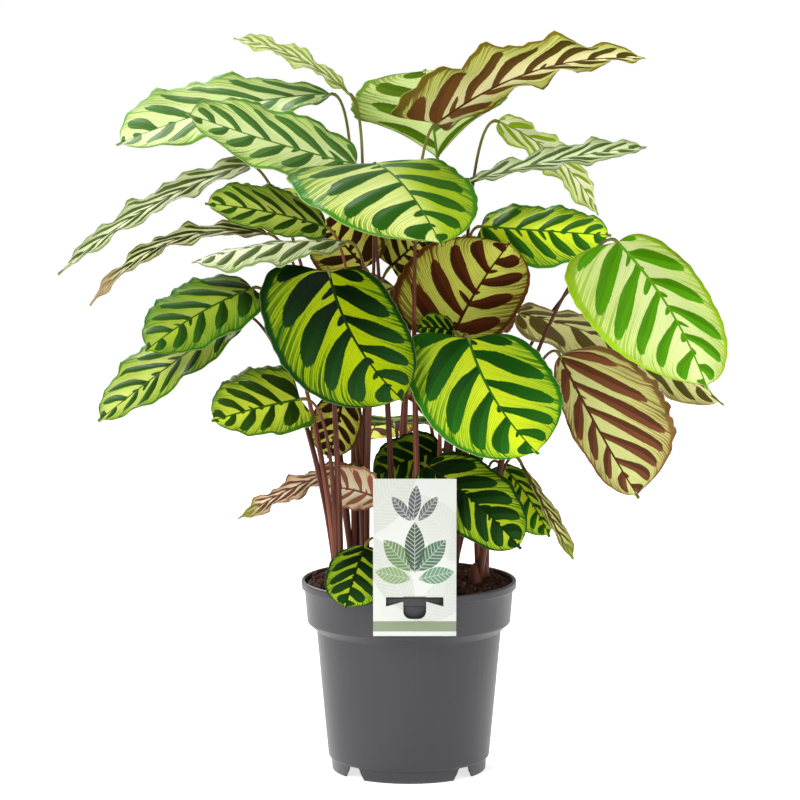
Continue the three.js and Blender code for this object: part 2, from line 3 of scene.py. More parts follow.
import bmesh
import bpy
import numpy as np
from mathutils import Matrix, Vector


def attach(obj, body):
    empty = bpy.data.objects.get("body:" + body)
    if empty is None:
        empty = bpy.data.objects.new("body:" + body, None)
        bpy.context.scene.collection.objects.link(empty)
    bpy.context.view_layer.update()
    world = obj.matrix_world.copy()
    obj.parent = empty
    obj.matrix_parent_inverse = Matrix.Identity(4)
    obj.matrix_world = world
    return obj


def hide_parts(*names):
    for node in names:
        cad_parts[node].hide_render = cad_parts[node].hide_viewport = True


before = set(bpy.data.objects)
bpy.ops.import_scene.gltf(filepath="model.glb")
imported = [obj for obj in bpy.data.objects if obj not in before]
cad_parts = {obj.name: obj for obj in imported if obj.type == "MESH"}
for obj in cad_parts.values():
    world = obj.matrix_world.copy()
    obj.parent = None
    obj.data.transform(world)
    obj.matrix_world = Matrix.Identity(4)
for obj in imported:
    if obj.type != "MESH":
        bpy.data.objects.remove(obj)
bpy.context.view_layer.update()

MM = 0.001

# Camera
CAMERA_PLACE = (-7, -3000, 690)
CAMERA_TARGET = (-7, 0, 294.3)
LENS = 173.25
SENSOR = 36
CAMERA_CLIP = (0.1, 200)

# Light: how bright the sky is near the horizon and overhead, and how far the floor glows of itself.
# Lamps: name, place, target, size, power in watts.
SKY_LOW = 0.7
SKY_TOP = 0.3
FLOOR_GLOW = 0.7
FLOOR_REACH = 60000
FLOOR_ROUGHNESS = 0.7
WHITE = "#FFFFFF"
LAMPS = [
    ["key", (-1100, -1700, 1900), (0, 0, 330), 1100, 34],
    ["fill", (1700, -1200, 800), (0, 0, 300), 900, 8],
    ["rim", (-700, 1300, 1500), (0, 0, 420), 900, 36],
]

# Pot
POT_HEIGHT = 152
RIM_RADIUS = 85
COLLAR_TOP_RADIUS = 82.7
COLLAR_LOW_RADIUS = 80.4
COLLAR_LOW = 118.7
LIP_LOW = 145
BODY_TOP = 110.6
BODY_TOP_RADIUS = 72.9
BODY_LOW = 10.6
BODY_LOW_RADIUS = 63.9
FOOT_RADIUS = 61
FOOT_TOP = 8.2
WALL = 1.7
FLOOR_TOP = 12.5
PAD_RADIUS = 16
PAD_SLOPE = 8
POT_SIDES = 192
NOTCH_LOW_WIDTH = 22
NOTCH_TOP_WIDTH = 11
NOTCH_HEIGHT = 9.6
NOTCH_SHOULDER = 4.3
NOTCH_SHOULDER_WIDTH = 15
NOTCH_DEPTH = 16
NOTCH_AZIMUTHS = (45, 135, 225, 315)
DRAIN_RADIUS = 4
DRAIN_RING = 42
DRAIN_SIDES = 24
DRAIN_AZIMUTHS = (0, 90, 180, 270)
POT_CREASE = 38

# Soil
SOIL_EDGE = 149
SOIL_CROWN = 156
SOIL_LOW = 100
SOIL_GAP = 0.9
SOIL_SUNK = 0.8
SOIL_RINGS = 54
SOIL_SIDES = 200
SOIL_CREASE = 50

# Lumps of the soil: their size and height, coarse to fine, and the waves that make each kind.
LUMPS = ((17, 1.3), (8, 0.9), (4.2, 0.7), (2.3, 0.5))
LUMP_WAVES = 4

# Crumbs on the soil, most of them small
CRUMBS = 2600
CRUMB_GAP = 2.5
CRUMB_SHARE = 0.85
CRUMB_SIZES = (0.7, 1.5)
CHUNK_SIZES = (1.6, 3.4)

# Card
CARD_LEFT = -27.7
CARD_WIDTH = 64
CARD_LOW = 122.4
CARD_HEIGHT = 122.4
CARD_THICKNESS = 0.7
CARD_BACK = -85.5
CARD_GAP = 0.6
CARD_BEVEL = 0.12
CARD_CREASE = 35
SLOT_TOP = 152.7
SLOT_MIDDLE = 4.3
SLOT_WIDTH = 44.2
SLOT_INNER_DROP = 3.4
SLOT_WING_DROP = 7.3
SLOT_CUT = 8
TONGUE_WIDTH = 17.6
TONGUE_LENGTH = 17
TONGUE_CORNER = 6
TONGUE_BACK = -78
TONGUE_LOW = 144.2
TONGUE_BEND = 1.7

# Printed leaves: middle, turn in degrees, length, width, ink. In shares of the card's width.
CARD_LEAVES = [
    [(0.10, 1.62), 48, 1.30, 0.52, "#C6C9C0"],
    [(0.84, 1.30), 132, 1.24, 0.50, "#CACDC5"],
    [(0.22, 0.74), 118, 1.10, 0.44, "#C4C8BF"],
    [(0.86, 0.46), 40, 1.00, 0.42, "#C8CBC4"],
    [(0.50, 1.62), 84, 0.44, 0.15, "#4D5155"],
    [(0.34, 1.55), 128, 0.38, 0.14, "#5A5F61"],
    [(0.66, 1.55), 52, 0.38, 0.14, "#5A5F61"],
    [(0.30, 0.98), 132, 0.52, 0.24, "#5F7F45"],
    [(0.70, 0.98), 48, 0.52, 0.24, "#3F6B4C"],
    [(0.24, 0.74), 168, 0.44, 0.20, "#7E9A62"],
    [(0.76, 0.74), 12, 0.44, 0.20, "#5E8A6A"],
    [(0.50, 1.08), 90, 0.62, 0.24, "#2F4A34"],
]
PRINTED_VEIN_GAP = 0.052

# Leaves
BLADE_THICKNESS = 0.6
BLADE_EDGE = 0.34
BLADE_ROWS = 60
BLADE_COLUMNS = 13
BLADE_LEAST = 1.4
BLADE_END = 0.97
EVEN = [0, 0.35, 0.85, 0, 0]
BLADE_SHOULDER = 2.5
BLADE_ROUND = 0.55
POINT_START = 0.8
POINT_TAPER = 0.4
VEIN_SWEEP = 0.64
VEIN_STARTS = (0.25, 0.5)
VEIN_REACH = 1.45
PUCKER = 1.1
GROOVE = 0.5
KEEL = 0.9
RIB_WIDTH = 1.5
SLOW_RUFFLES = 6.3
QUICK_RUFFLES = 11.7
COLUMN_CROWDING = 1.3
SCORCHED = "#8E5A20"

# Stalks
STALK_TOP_RADIUS = 1.15
STALK_LOW_RADIUS = 2.1
STALK_SIDES = 10
STALK_STEPS = 30
STALK_NARROWING = (0.7, 0.35)
STALK_GAP = 1
STALK_REACH = 28
STALK_RING = 3.8
STALK_SUNK = 2
STALK_LEAN = 0.12
STALK_RISE = 0.55
SHEATH_WIDENING = 0.2
KNUCKLE = 0.35
KNUCKLE_PLACE = 0.88
KNUCKLE_LENGTH = 0.035
JOIN_STEPS = (0, 0.03, 0.06)
JOIN_DEPTH = 0.9
CROWN_RADII = (6.6, 6.4, 6.1, 5.8, 5.3, 4.6, 3.4, 1.6)
CROWN_LOW = -6
CROWN_TOP = 15
CROWN_SHARE = 0.02

# Shoots: where each one leaves the soil, x and y.
SHOOTS = [
    [-52, -40], [-42, 24], [-32, 4], [-8, -10], [8, -38],
    [-8, 48], [34, 36], [52, -20], [22, 0], [58, 14],
]

# Leaves: name, shoot, base, tip, the way the upper face looks, then half width left and right, bow,
# sway, fold left and right, curl, twist, wave, waves and how far the margins ruffle, then the looks of
# the upper and the lower face. Left and right are as seen on the upper face with the tip up. The
# midrib bows to the upper face and sways to the right. The halves fold up. A last pair, where there
# is one, bends the stalk aside in x and y, clear of its neighbours.
LEAVES = [
    ["front_left", 0, [-61, -78, 402], [-4, -96, 306], [0.05, -1, 0.15],
     [42, 60, 6, 9, -6, -8, -14, 0, 1, 3, 0.9], "deep maroon"],
    ["front_right", 8, [46, -62, 349], [99, -88, 264], [0.1, -1, 0.3],
     [52, 54, 6, 8, -4, -4, -10, 0, 1, 3, 0.9], "bright maroon"],
    ["centre_under", 8, [33, -22, 346], [79, -5, 419], [-0.1, 1, 0.1],
     [38, 58, 4, 2, 4, 4, 0, 0, 1, 2, 0.9], "deep maroon"],
    ["top_centre", 3, [-26, -10, 481], [24, -145, 429], [0, -0.45, 0.9],
     [50, 82, 12, 0, 0, 6, -6, 0, 2, 3, 0.9], "cream maroon"],
    ["upper_left", 2, [-42, 22, 478], [-172, -28, 521], [-0.1, -0.8, 0.7],
     [38, 39, -3, 0, 18, -4, -8, 0, 3, 3, 1.8], "mid maroon"],
    ["far_left", 1, [-63, 88, 530], [-232, 52, 491], [0, -0.6, 0.8],
     [42, 45, 11, 0, 20, 0, -8, 0, 3, 3, 2.6], "mid maroon", [0, -50]],
    ["top_curl", 1, [-47, 40, 533], [-138, 40, 576], [0.1, -0.5, 1],
     [15, 11, 9, 0, 10, 10, 0, 6, 3, 3, 2.2], "stripe lime"],
    ["back_top", 6, [23, 86, 479], [13, 122, 548], [0, -1, 0.4],
     [64, 64, 8, 0, 4, 4, 6, 0, 3, 3, 1.8], "fresh maroon", [0, -50]],
    ["top_right", 4, [22, 24, 511], [182, -15, 563], [-0.15, 0.45, 0.85],
     [26, 48, 18, 0, -4, 10, 6, 0, 5, 4, 3], "mid olive", [-8, -60]],
    ["right_edge", 9, [46, 20, 464], [185, 0, 493], [0, -0.3, 1],
     [22, 27, 4, 0, 8, 8, 0, 20, 2, 4, 2.4], "grey maroon"],
    ["right_back", 6, [72, 64, 509], [152, 74, 434], [0.4, -0.5, 0.8],
     [24, 20, 12, 0, 0, -8, -8, 0, 3, 3, 2.2], "spring lime"],
    ["right_mid", 9, [58, 36, 428], [158, 0, 424], [0.1, -0.75, 0.7],
     [30, 33, 0, 0, -4, -8, -8, 0, 2, 3, 1.5], "lively maroon"],
    ["right_pale", 7, [160, -60, 424], [227, -95, 315], [0.1, -1, 0.3],
     [34, 58, 6, -6, -4, -4, -8, 0, 1, 3, 0.9], "pale lime"],
    ["right_under", 7, [118, -18, 331], [180, -25, 220], [0.1, 1, 0.2],
     [20, 60, 6, -3, -20, -6, 0, 0, 4, 3, 2.6], "deep plum"],
    ["right_long", 6, [88, 33, 360], [248, 3, 290], [0, 0.55, 0.85],
     [43, 40, 12, 0, -8, -12, 0, 0, 3, 4, 2.6], "deep dusk"],
    ["left_far", 1, [-129, 26, 477], [-274, -8, 394], [-0.35, -0.5, 0.8],
     [15, 17, 11, 0, 8, 6, 0, 0, 2.5, 4, 3.2], "mist maroon"],
    ["left_far2", 1, [-112, 20, 424], [-250, 0, 369], [-0.2, -0.5, 0.85],
     [12, 12, 27, 0, 10, 6, 0, 0, 2.5, 4, 3], "dry maroon"],
    ["left_dark", 2, [-66, 12, 430], [-158, -24, 451], [0, -0.7, 0.7],
     [20, 34, 4, 0, 0, -6, -8, 0, 2, 3, 1.6], "meadow maroon"],
    ["left_flat", 2, [-49, -50, 424], [-166, -75, 410], [0, -0.3, 1],
     [28, 28, 6, 0, 0, -14, -20, 0, 3, 3, 2.2], "mist maroon"],
    ["left_green", 0, [-121, -52, 388], [-200, -100, 345], [-0.3, -0.8, 0.6],
     [30, 40, 6, 0, 0, -6, -10, 0, 2, 3, 1.8], "grass maroon"],
    ["left_low", 0, [-133, -40, 364], [-239, -70, 287], [-0.4, -0.7, 0.6],
     [24, 40, 2, 0, 10, -6, -8, 0, 3, 3, 2.2], "meadow maroon"],
    ["left_lower", 0, [-84, -69, 304], [-150, -104, 292], [-0.1, -0.8, 0.6],
     [26, 44, 2, 0, -4, -8, -8, 0, 2, 3, 1.4], "lemon maroon"],
    ["low_left", 2, [-48, 2, 242], [-134, -20, 203], [-0.2, 0.7, 0.6],
     [10, 14, 5, 0, 0, 0, 0, 0, 3, 3, 2.4], "deep rosy"],
    ["low_under", 2, [-23, -22, 220], [-68, -27, 230], [0, 0.8, 0.5],
     [24, 21, 4, 0, 0, 0, 0, 0, 1, 2, 1.2], "meadow pink"],
    ["pot_front", 3, [-34, -50, 186], [-49, -84, 144], [-0.2, -1, 0.5],
     [27, 23, 4, 0, 0, 0, -10, 0, 1, 2, 0.9], "night maroon"],
    ["low_right", 4, [14, -48, 249], [86, -84, 190], [0.2, -0.8, 0.5],
     [36, 28, 8, 0, -4, -8, -10, 0, 2, 3, 0.9], "night maroon"],
    ["low_right_back", 9, [74, 22, 239], [111, -4, 186], [0.3, -0.7, 0.6],
     [13, 25, 6, 0, 0, 0, -10, 0, 2, 3, 0.9], "bright maroon"],
    ["low_right_edge", 7, [89, 4, 243], [129, -20, 171], [0.3, 0.9, 0.2],
     [5, 7, 0, 0, 15, 15, 0, 0, 2, 3, 1.2], "deep straw", [2, -10]],
    ["mid_under_left", 1, [-35, 30, 396], [-70, 24, 433], [0, 1, 0.3],
     [30, 30, 4, 0, 0, 0, 0, 0, 1, 2, 0.9], "deep shade"],
    ["mid_under_right", 1, [-14, 44, 396], [12, 40, 418], [0, 1, 0.3],
     [24, 24, 3, 0, 0, 0, 0, 0, 1, 2, 0.9], "deep shade"],
    ["mid_dark", 8, [34, -39, 353], [6, -46, 356], [0, -0.7, 0.7],
     [15, 15, 3, 0, 0, 0, 0, 0, 1, 2, 0.9], "night maroon"],
    ["low_mid_left", 2, [-52, -18, 296], [-63, -18, 251], [0, 1, 0.3],
     [20, 19, -2, 0, 0, 0, 0, 0, 1, 2, 0.9], "deep shade"],
    ["low_mid_right", 6, [25, 30, 250], [-29, 22, 229], [0, -0.7, 0.7],
     [25, 25, 4, 0, 0, 0, 0, 0, 1, 2, 0.9], "night maroon"],
    ["back_left_high", 1, [-56, 60, 474], [-138, 130, 483], [-0.1, 0.4, 0.9],
     [38, 38, 12, 0, 0, 0, -8, 0, 3, 3, 0.9], "mid maroon"],
    ["back_mid_left", 5, [-12, 76, 376], [-97, 135, 322], [-0.2, 0.8, 0.5],
     [42, 42, 8, 0, 0, 0, -8, 0, 2, 3, 0.9], "meadow maroon"],
    ["back_centre", 5, [4, 70, 406], [4, 160, 460], [0, -0.3, 0.95],
     [36, 36, 12, 0, 0, 0, -8, 0, 2, 3, 0.9], "bright maroon"],
    ["back_mid_right", 6, [55, 68, 366], [31, 142, 321], [0, 0.8, 0.6],
     [42, 42, 8, 0, 0, 0, -8, 0, 2, 3, 0.9], "deep maroon"],
    ["back_right", 6, [152, 98, 383], [231, 140, 321], [0.3, 0.6, 0.7],
     [36, 36, 8, 0, 0, 0, -8, 0, 3, 3, 0.9], "bright maroon"],
    ["back_low", 6, [17, 66, 310], [75, 130, 252], [0.2, 0.8, 0.5],
     [42, 42, 6, 0, 0, 0, -8, 0, 2, 3, 0.9], "deep maroon"],
    ["back_low_left", 1, [-35, 50, 344], [-72, 110, 284], [-0.2, 0.8, 0.5],
     [40, 40, 6, 0, 0, 0, -8, 0, 2, 3, 0.9], "deep maroon"],
    ["back_far_left", 1, [-76, 92, 440], [-148, 205, 424], [-0.1, 0.2, 1],
     [44, 44, 16, 0, 4, 4, -10, 0, 4, 3, 0.9], "bright maroon", [-20, -50]],
    ["back_far_right", 6, [66, 92, 404], [118, 205, 380], [0.1, 0.2, 1],
     [42, 42, 14, 0, 4, 4, -10, 0, 4, 3, 0.9], "grass maroon", [30, -24]],
    ["back_far_mid", 5, [-12, 98, 262], [-34, 205, 232], [0, 0.3, 1],
     [42, 42, 12, 0, 4, 4, -10, 0, 4, 3, 0.9], "grass maroon"],
    ["back_low_pot", 5, [3, 66, 188], [18, 118, 132], [0, 1, 0.5],
     [24, 24, 4, 0, 0, 0, -8, 0, 1, 2, 0.9], "deep maroon"],
]

# Leaves whose halves are uneven: how far the right half sits ahead of the left, how far the base
# lobes reach back, the skew, smaller where the blade is widest nearer its base, and how much further
# the side veins of the left half and of the right lean on towards the tip.
UNEVEN = {
    "front_left": [-0.25, 0.42, 0.72, 0.45, -0.05],
    "front_right": [-0.28, 0.4, 0.7, 0.5, 0],
    "centre_under": [-0.25, 0.2, 0.85, 0.2, 0],
    "top_centre": [-0.1, 0.5, 0.85, 0.25, 0],
    "right_pale": [-0.3, 0.42, 0.85, 0.3, 0.1],
    "top_right": [-0.3, 0.35, 0.38, 0, 0],
    "back_top": [0, -0.8, 1.2, 0, 0],
    "far_left": [0.15, 0.35, 1.5, 0, 0],
    "left_flat": [0, 0.35, 1.3, 0, 0],
    "left_lower": [0, 0.35, 0.5, 0, 0],
    "pot_front": [0, 0.35, 1.1, 0, 0],
    "left_far": [0, 0.35, 0.52, 0, 0],
    "left_far2": [0, 0.35, 0.75, 0, 0],
    "top_curl": [0, 0.35, 1.35, 0, 0],
    "right_under": [0, 0.35, 1.15, 0, 0.7],
    "low_under": [0, 0.35, 1.15, 0, 0],
    "low_right_edge": [0, 0.35, 1.9, 0, 0],
}

ROLES = ("inner", "outer", "oval", "oval_tip", "line", "margin", "rim", "rib")


def paints(colours, **more):
    """A face's colours by role, and what else sets its look apart."""
    return dict(zip(ROLES, colours.split()), **more)


# Leaf colours, as on a paint chart: of the upper face and of the lower, in the order of the roles.
# Wide is how much wider than usual the ovals are, and waist how wide they stay at their inner end.
# A second ground colour goes to the left half, and a dry colour to the tip.
UPPERS = {
    "deep": paints("#98AC06 #8AA40C #041603 #1C4214 #1C480C #123A0E #6E8458 #142A0C", wide=0.045),
    "night": paints("#A6BC20 #9CC024 #082004 #1C4012 #1A400C #14380C #50683E #12280C",
                    wide=0.09, waist=0.8),
    "lively": paints("#E2F82C #C6E632 #2A5C10 #34701A #3A7A18 #38841A #B0C484 #2F6E18", wide=-0.01),
    "bright": paints("#C8DC24 #AECE2A #14440A #246014 #2C6A12 #2B7414 #A4B878 #235E14", wide=0.02),
    "grass": paints("#A0B634 #80A228 #1A3A08 #2B5A16 #366A16 #2C6412 #8FA860 #2A5814"),
    "meadow": paints("#C6D862 #B4CC4C #203C08 #345E1A #4A7820 #44721C #AABE74 #3A6418", wide=-0.03),
    "mid": paints("#E8F8AC #DCEE8C #4A7230 #548238 #70A042 #5A8E32 #B4CC84 #55862C"),
    "stripe": paints("#FAFFC8 #F0FAAC #8AA044 #A0B850 #AEC46A #A8C244 #C8D884 #809C38", wide=-0.08),
    "spring": paints("#FFFFD4 #FAFFB4 #8AAE0E #92B424 #B8D460 #A2C634 #CCE088 #86A420", wide=-0.07),
    "lemon": paints("#C2D438 #AEC630 #1A3204 #2C5010 #466E18 #3C6814 #A0B45C #30580E", wide=0.02),
    "fresh": paints("#DAEC9C #CCDE84 #4A6A0A #5A7A1A #7C9A3C #6C8C2C #B0C47C #587A22"),
    "cream": paints("#E6F294 #DAEA74 #2C5A10 #2C6212 #4C8222 #3C881C #A6C070 #3C721C",
                    second="#A9C422", wide=0.02),
    "pale": paints("#D6E498 #CCDE80 #488604 #4E900E #90B434 #90BA16 #B4D048 #5A9614"),
    "mist": paints("#F2FAC8 #E0ECB4 #44561C #566A2C #84985A #78904A #BCCA98 #566C36", wide=-0.02),
    "grey": paints("#D8E6AE #C8D69C #40581C #4E6628 #768C50 #6A8440 #AEBE88 #4E6632"),
    "dry": paints("#F2F0C0 #D8DA9C #2C3C06 #3A4810 #70783A #727634 #B09470 #4E561E", dry="#BC9C72"),
}
UNDERS = {
    "maroon": paints("#CCD058 #B8BC4A #482106 #462008 #5E3612 #583210 #73501F #3C1C0A"),
    "shade": paints("#DADA5E #C6C648 #301C06 #341E08 #563A14 #4C3210 #5E4618 #2A1606"),
    "olive": paints("#ECE2A8 #C6CE62 #66401C #4A420C #7E6A2A #706014 #8E7E24 #4E300C"),
    "pink": paints("#FFF6CE #FBE4B8 #A4604C #9C6250 #BC8468 #A66E56 #B8826A #8E4E40"),
    "rosy": paints("#FFF0C8 #F4DCAE #8E5A48 #865440 #A87458 #986450 #A8745A #7A463A", dry="#98A03C"),
    "straw": paints("#F4F0A0 #E4E088 #4E5212 #5A6018 #8C8640 #928E44 #A8A05C #5E5220", dry="#98A03C"),
    "dusk": paints("#E4E294 #D6D482 #544410 #50480C #86783A #807438 #968C4C #54420E"),
    "plum": paints("#CCD084 #CACA76 #623820 #6A402A #805C36 #7A5A32 #96764A #56301C"),
    "lime": paints("#D9E2A6 #CBDA8E #86B03E #8EB848 #A6C260 #A8BE58 #B6CC6A #86A840"),
}

rng = np.random.default_rng(41)


def linear(text):
    """A paint-chart colour as Blender's linear red, green, blue and alpha."""
    shares = [int(text[place:place + 2], 16) / 255 for place in (1, 3, 5)]
    return (*(x / 12.92 if x <= 0.04045 else ((x + 0.055) / 1.055) ** 2.4 for x in shares), 1.0)


def unit(vectors):
    return vectors / np.linalg.norm(vectors, axis=-1, keepdims=True)


def smooth_step(low, high, x):
    share = np.clip((x - low) / (high - low), 0, 1)
    return share * share * (3 - 2 * share)


def operation(name):
    """A method that adds this math node to the field's material."""
    return lambda field, *others: field.math(name, *others)


class Field:
    """A number that varies over a surface. Arithmetic on it adds math nodes to its material."""

    def __init__(self, tree, socket):
        self.tree = tree
        self.socket = socket

    def math(self, name, *others):
        node = self.tree.nodes.new("ShaderNodeMath")
        node.operation = name
        for socket, value in zip(node.inputs, (self, *others)):
            feed(socket, value)
        return Field(self.tree, node.outputs[0])

    __add__ = operation("ADD")
    __sub__ = operation("SUBTRACT")
    __mul__ = operation("MULTIPLY")
    __truediv__ = operation("DIVIDE")
    __pow__ = operation("POWER")
    __abs__ = operation("ABSOLUTE")
    floor = operation("FLOOR")
    round = operation("ROUND")
    root = operation("SQRT")
    sine = operation("SINE")
    over = operation("GREATER_THAN")
    at_least = operation("MAXIMUM")

    def __rsub__(self, other):
        return self * -1 + other

    def step(self, low, high):
        """0 below low and 1 above high, smooth between. Low may be the larger, which turns it round."""
        node = self.tree.nodes.new("ShaderNodeMapRange")
        node.interpolation_type = "SMOOTHSTEP"
        for socket, value in zip(node.inputs, (self, low, high, 0, 1)):
            feed(socket, value)
        return Field(self.tree, node.outputs[0])


def feed(socket, value):
    if isinstance(value, Field):
        value.tree.links.new(value.socket, socket)
    else:
        socket.default_value = value


def parts(tree, socket):
    """A vector's or colour's three parts."""
    node = tree.nodes.new("ShaderNodeSeparateXYZ")
    tree.links.new(socket, node.inputs[0])
    return [Field(tree, output) for output in node.outputs]


def attribute(tree, name):
    node = tree.nodes.new("ShaderNodeAttribute")
    node.attribute_name = name
    return parts(tree, node.outputs["Vector"])


def texture(kind, x, y, z):
    """A texture node that reads three numbers as its place."""
    place = x.tree.nodes.new("ShaderNodeCombineXYZ")
    for socket, value in zip(place.inputs, (x, y, z)):
        feed(socket, value)
    node = x.tree.nodes.new(kind)
    x.tree.links.new(place.outputs[0], node.inputs["Vector"])
    return node


def noise(x, y, z, detail=2, roughness=0.5):
    """Smooth noise with a mean near zero, from about -0.5 to 0.5."""
    node = texture("ShaderNodeTexNoise", x, y, z)
    node.inputs["Scale"].default_value = 1
    node.inputs["Detail"].default_value = detail
    node.inputs["Roughness"].default_value = roughness
    return Field(x.tree, node.outputs[0]) - 0.5


def draws(x, y, z):
    """Three random numbers from 0 to 1 for each set of whole numbers."""
    node = texture("ShaderNodeTexWhiteNoise", x, y, z)
    node.noise_dimensions = "3D"
    return parts(x.tree, node.outputs["Color"])


def mixed(share, first, second):
    """A colour socket that goes from the first colour to the second as the share goes from 0 to 1."""
    node = share.tree.nodes.new("ShaderNodeMix")
    node.data_type = "RGBA"
    node.clamp_factor = True
    feed(node.inputs[0], share)
    for socket, value in ((node.inputs[6], first), (node.inputs[7], second)):
        if isinstance(value, str):
            socket.default_value = linear(value)
        else:
            share.tree.links.new(value, socket)
    return node.outputs[2]


def shaded(colour, factor):
    """The colour made darker or lighter by a factor."""
    node = factor.tree.nodes.new("ShaderNodeVectorMath")
    node.operation = "SCALE"
    factor.tree.links.new(colour, node.inputs[0])
    feed(node.inputs["Scale"], factor)
    return node.outputs[0]


def object_place(tree):
    """Where a point is, in millimetres."""
    node = tree.nodes.new("ShaderNodeTexCoord")
    return [part * (1 / MM) for part in parts(tree, node.outputs["Object"])]


def new_material(name):
    material = bpy.data.materials.new(name)
    material.use_nodes = True
    return material, material.node_tree


def finish(material, colour, rough, height, rise, shine=0.5):
    """Gives the material its colour, roughness and shine, and a bump of so many millimetres."""
    tree = material.node_tree
    shader = tree.nodes["Principled BSDF"]
    tree.links.new(colour, shader.inputs["Base Color"])
    feed(shader.inputs["Roughness"], rough)
    shader.inputs["Specular IOR Level"].default_value = shine
    node = tree.nodes.new("ShaderNodeBump")
    node.inputs["Distance"].default_value = rise * MM
    feed(node.inputs["Height"], height)
    tree.links.new(node.outputs["Normal"], shader.inputs["Normal"])
    return material


def new_piece(name, points, faces):
    """A smooth mesh object from points in millimetres."""
    mesh = bpy.data.meshes.new(name)
    mesh.from_pydata((np.asarray(points) * MM).tolist(), [], [list(face) for face in faces])
    mesh.validate()
    mesh.polygons.foreach_set("use_smooth", [True] * len(mesh.polygons))
    mesh.update()
    piece = bpy.data.objects.new(name, mesh)
    bpy.context.scene.collection.objects.link(piece)
    return piece


class Heap:
    """Parts of one mesh, gathered with a vector of facts for each point."""

    def __init__(self):
        self.points, self.faces, self.facts = [], [], []

    def add(self, points, faces, facts):
        count = len(self.points)
        self.points += list(points)
        self.faces += [[place + count for place in face] for face in faces]
        self.facts += list(facts)


def add_attribute(piece, name, values):
    data = piece.data.attributes.new(name, "FLOAT_VECTOR", "POINT")
    data.data.foreach_set("vector", np.asarray(values, np.float32).ravel())


def dress(piece, material, node):
    """Gives the piece its material, and seats it on the body in place of its node."""
    piece.data.materials.append(material)
    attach(piece, "root")
    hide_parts(node)


# Leaves
def midrib(leaf):
    """The midrib's three control points, and the way the upper face looks at the middle."""
    base, tip, facing = (np.array(leaf[place], float) for place in (2, 3, 4))
    bow, sway = leaf[5][2:4]
    chord = unit(tip - base)
    up = unit(facing - facing @ chord * chord)
    across = np.cross(chord, up)
    return base, (base + tip) / 2 + 2 * bow * up + 2 * sway * across, tip, up


def along_rib(rib, s):
    base, control, tip, _ = rib
    s = np.asarray(s)[..., None]
    return (1 - s) ** 2 * base + 2 * s * (1 - s) * control + s ** 2 * tip


def rib_way(rib, s):
    base, control, tip, _ = rib
    s = np.asarray(s)[..., None]
    return unit((1 - s) * (control - base) + s * (tip - control))


def outline(s, skew):
    """Half the blade's width at s along the midrib, as a share of full."""
    start = 2 * np.minimum(1, s / BLADE_END) ** skew - 1
    body = np.maximum(0, 1 - np.abs(start) ** BLADE_SHOULDER) ** BLADE_ROUND
    return np.maximum(body, np.where(s > POINT_START, POINT_TAPER * (1 - s), 0))


def letters(name):
    return sum(map(ord, name)) % 97


def vein_start(s, share, side):
    """Where the side vein through a point leaves the midrib. The veins sweep on towards the tip."""
    reach = VEIN_SWEEP * np.maximum(0.85 * share + 0.15 * share ** 2, 1e-4)
    first = np.where(side > 0, VEIN_STARTS[1], VEIN_STARTS[0])
    rise = VEIN_REACH - first
    turn = 1 + (rise - first) * reach
    inside = np.maximum(0, turn ** 2 - 4 * reach * rise * (s - first * reach))
    return (turn - np.sqrt(inside)) / (2 * reach * rise)


def blade_surface(leaf, s, t):
    """The blade's middle surface, its half width in millimetres and its vein coordinate."""
    name = leaf[0]
    left, right, _, _, fold_left, fold_right, curl, twist, wave, waves, ruffle = leaf[5]
    rib = midrib(leaf)
    way = rib_way(rib, s)
    up = unit(rib[3] - (way @ rib[3])[..., None] * way)
    across = np.cross(way, up)
    turn = np.radians(twist) * (s - 0.5)[..., None]
    lift = up * np.cos(turn) + across * np.sin(turn)
    out = across * np.cos(turn) - up * np.sin(turn)
    side = np.sign(t)
    share = np.abs(t)
    tag = letters(name)
    slow = np.sin(2 * np.pi * (SLOW_RUFFLES * s + 0.21 * tag + 0.4 * side))
    quick = np.sin(2 * np.pi * (QUICK_RUFFLES * s + 0.13 * tag + 0.3 * side))
    notch = 1 + (0.004 + 0.011 * ruffle) * share ** 8 * (0.6 * quick + 0.4 * slow)
    lean, lobe, skew, left_sweep, right_sweep = UNEVEN.get(name, EVEN)
    half = np.maximum(BLADE_LEAST, np.where(side > 0, right, left) * outline(s, skew) * notch)
    fold = np.radians(np.where(side > 0, fold_right, fold_left))
    bend = math.radians(curl) + 1e-6
    flat = (np.sin(fold + bend * share) - np.sin(fold)) / bend
    rise = (np.cos(fold) - np.cos(fold + bend * share)) / bend
    swing = np.sin(2 * np.pi * (waves * s + 0.25 * side + 0.37 * tag))
    body = np.sqrt(np.maximum(0, np.sin(np.pi * s)))
    length = np.linalg.norm(rib[2] - rib[0])
    count = vein_count(leaf)
    further = np.where(side > 0, right_sweep, left_sweep)
    vein = vein_start(s + (lean * side - further) * half * flat / length, share, side)
    phase = vein * count + np.where(side > 0, 0, 0.5)
    pucker = PUCKER * (0.5 * np.cos(2 * np.pi * phase) + 0.5 - 2 * np.abs(phase - np.round(phase)))
    flutter = ruffle * share ** 3 * (0.65 * slow + 0.35 * quick)
    ripple = (wave * share ** 2 * swing + flutter + pucker * 3 * share * (1 - share)) * body
    ripple = ripple - GROOVE * np.exp(-(share * half / RIB_WIDTH) ** 2) * (1 - 0.6 * s)
    ahead = half * (lean * flat * side - lobe * share * (1 - s) ** 4)
    points = (along_rib(rib, s)
              + (half * flat * side)[..., None] * out
              + (half * rise + ripple)[..., None] * lift
              + ahead[..., None] * way)
    return points, half, vein * count


def vein_count(leaf):
    """How many side veins with a dark oval each half of the blade has: more on a slender blade."""
    length = np.linalg.norm(np.array(leaf[3]) - np.array(leaf[2]))
    return 2.9 + 1.6 * min(length / sum(leaf[5][:2]), 2.6)


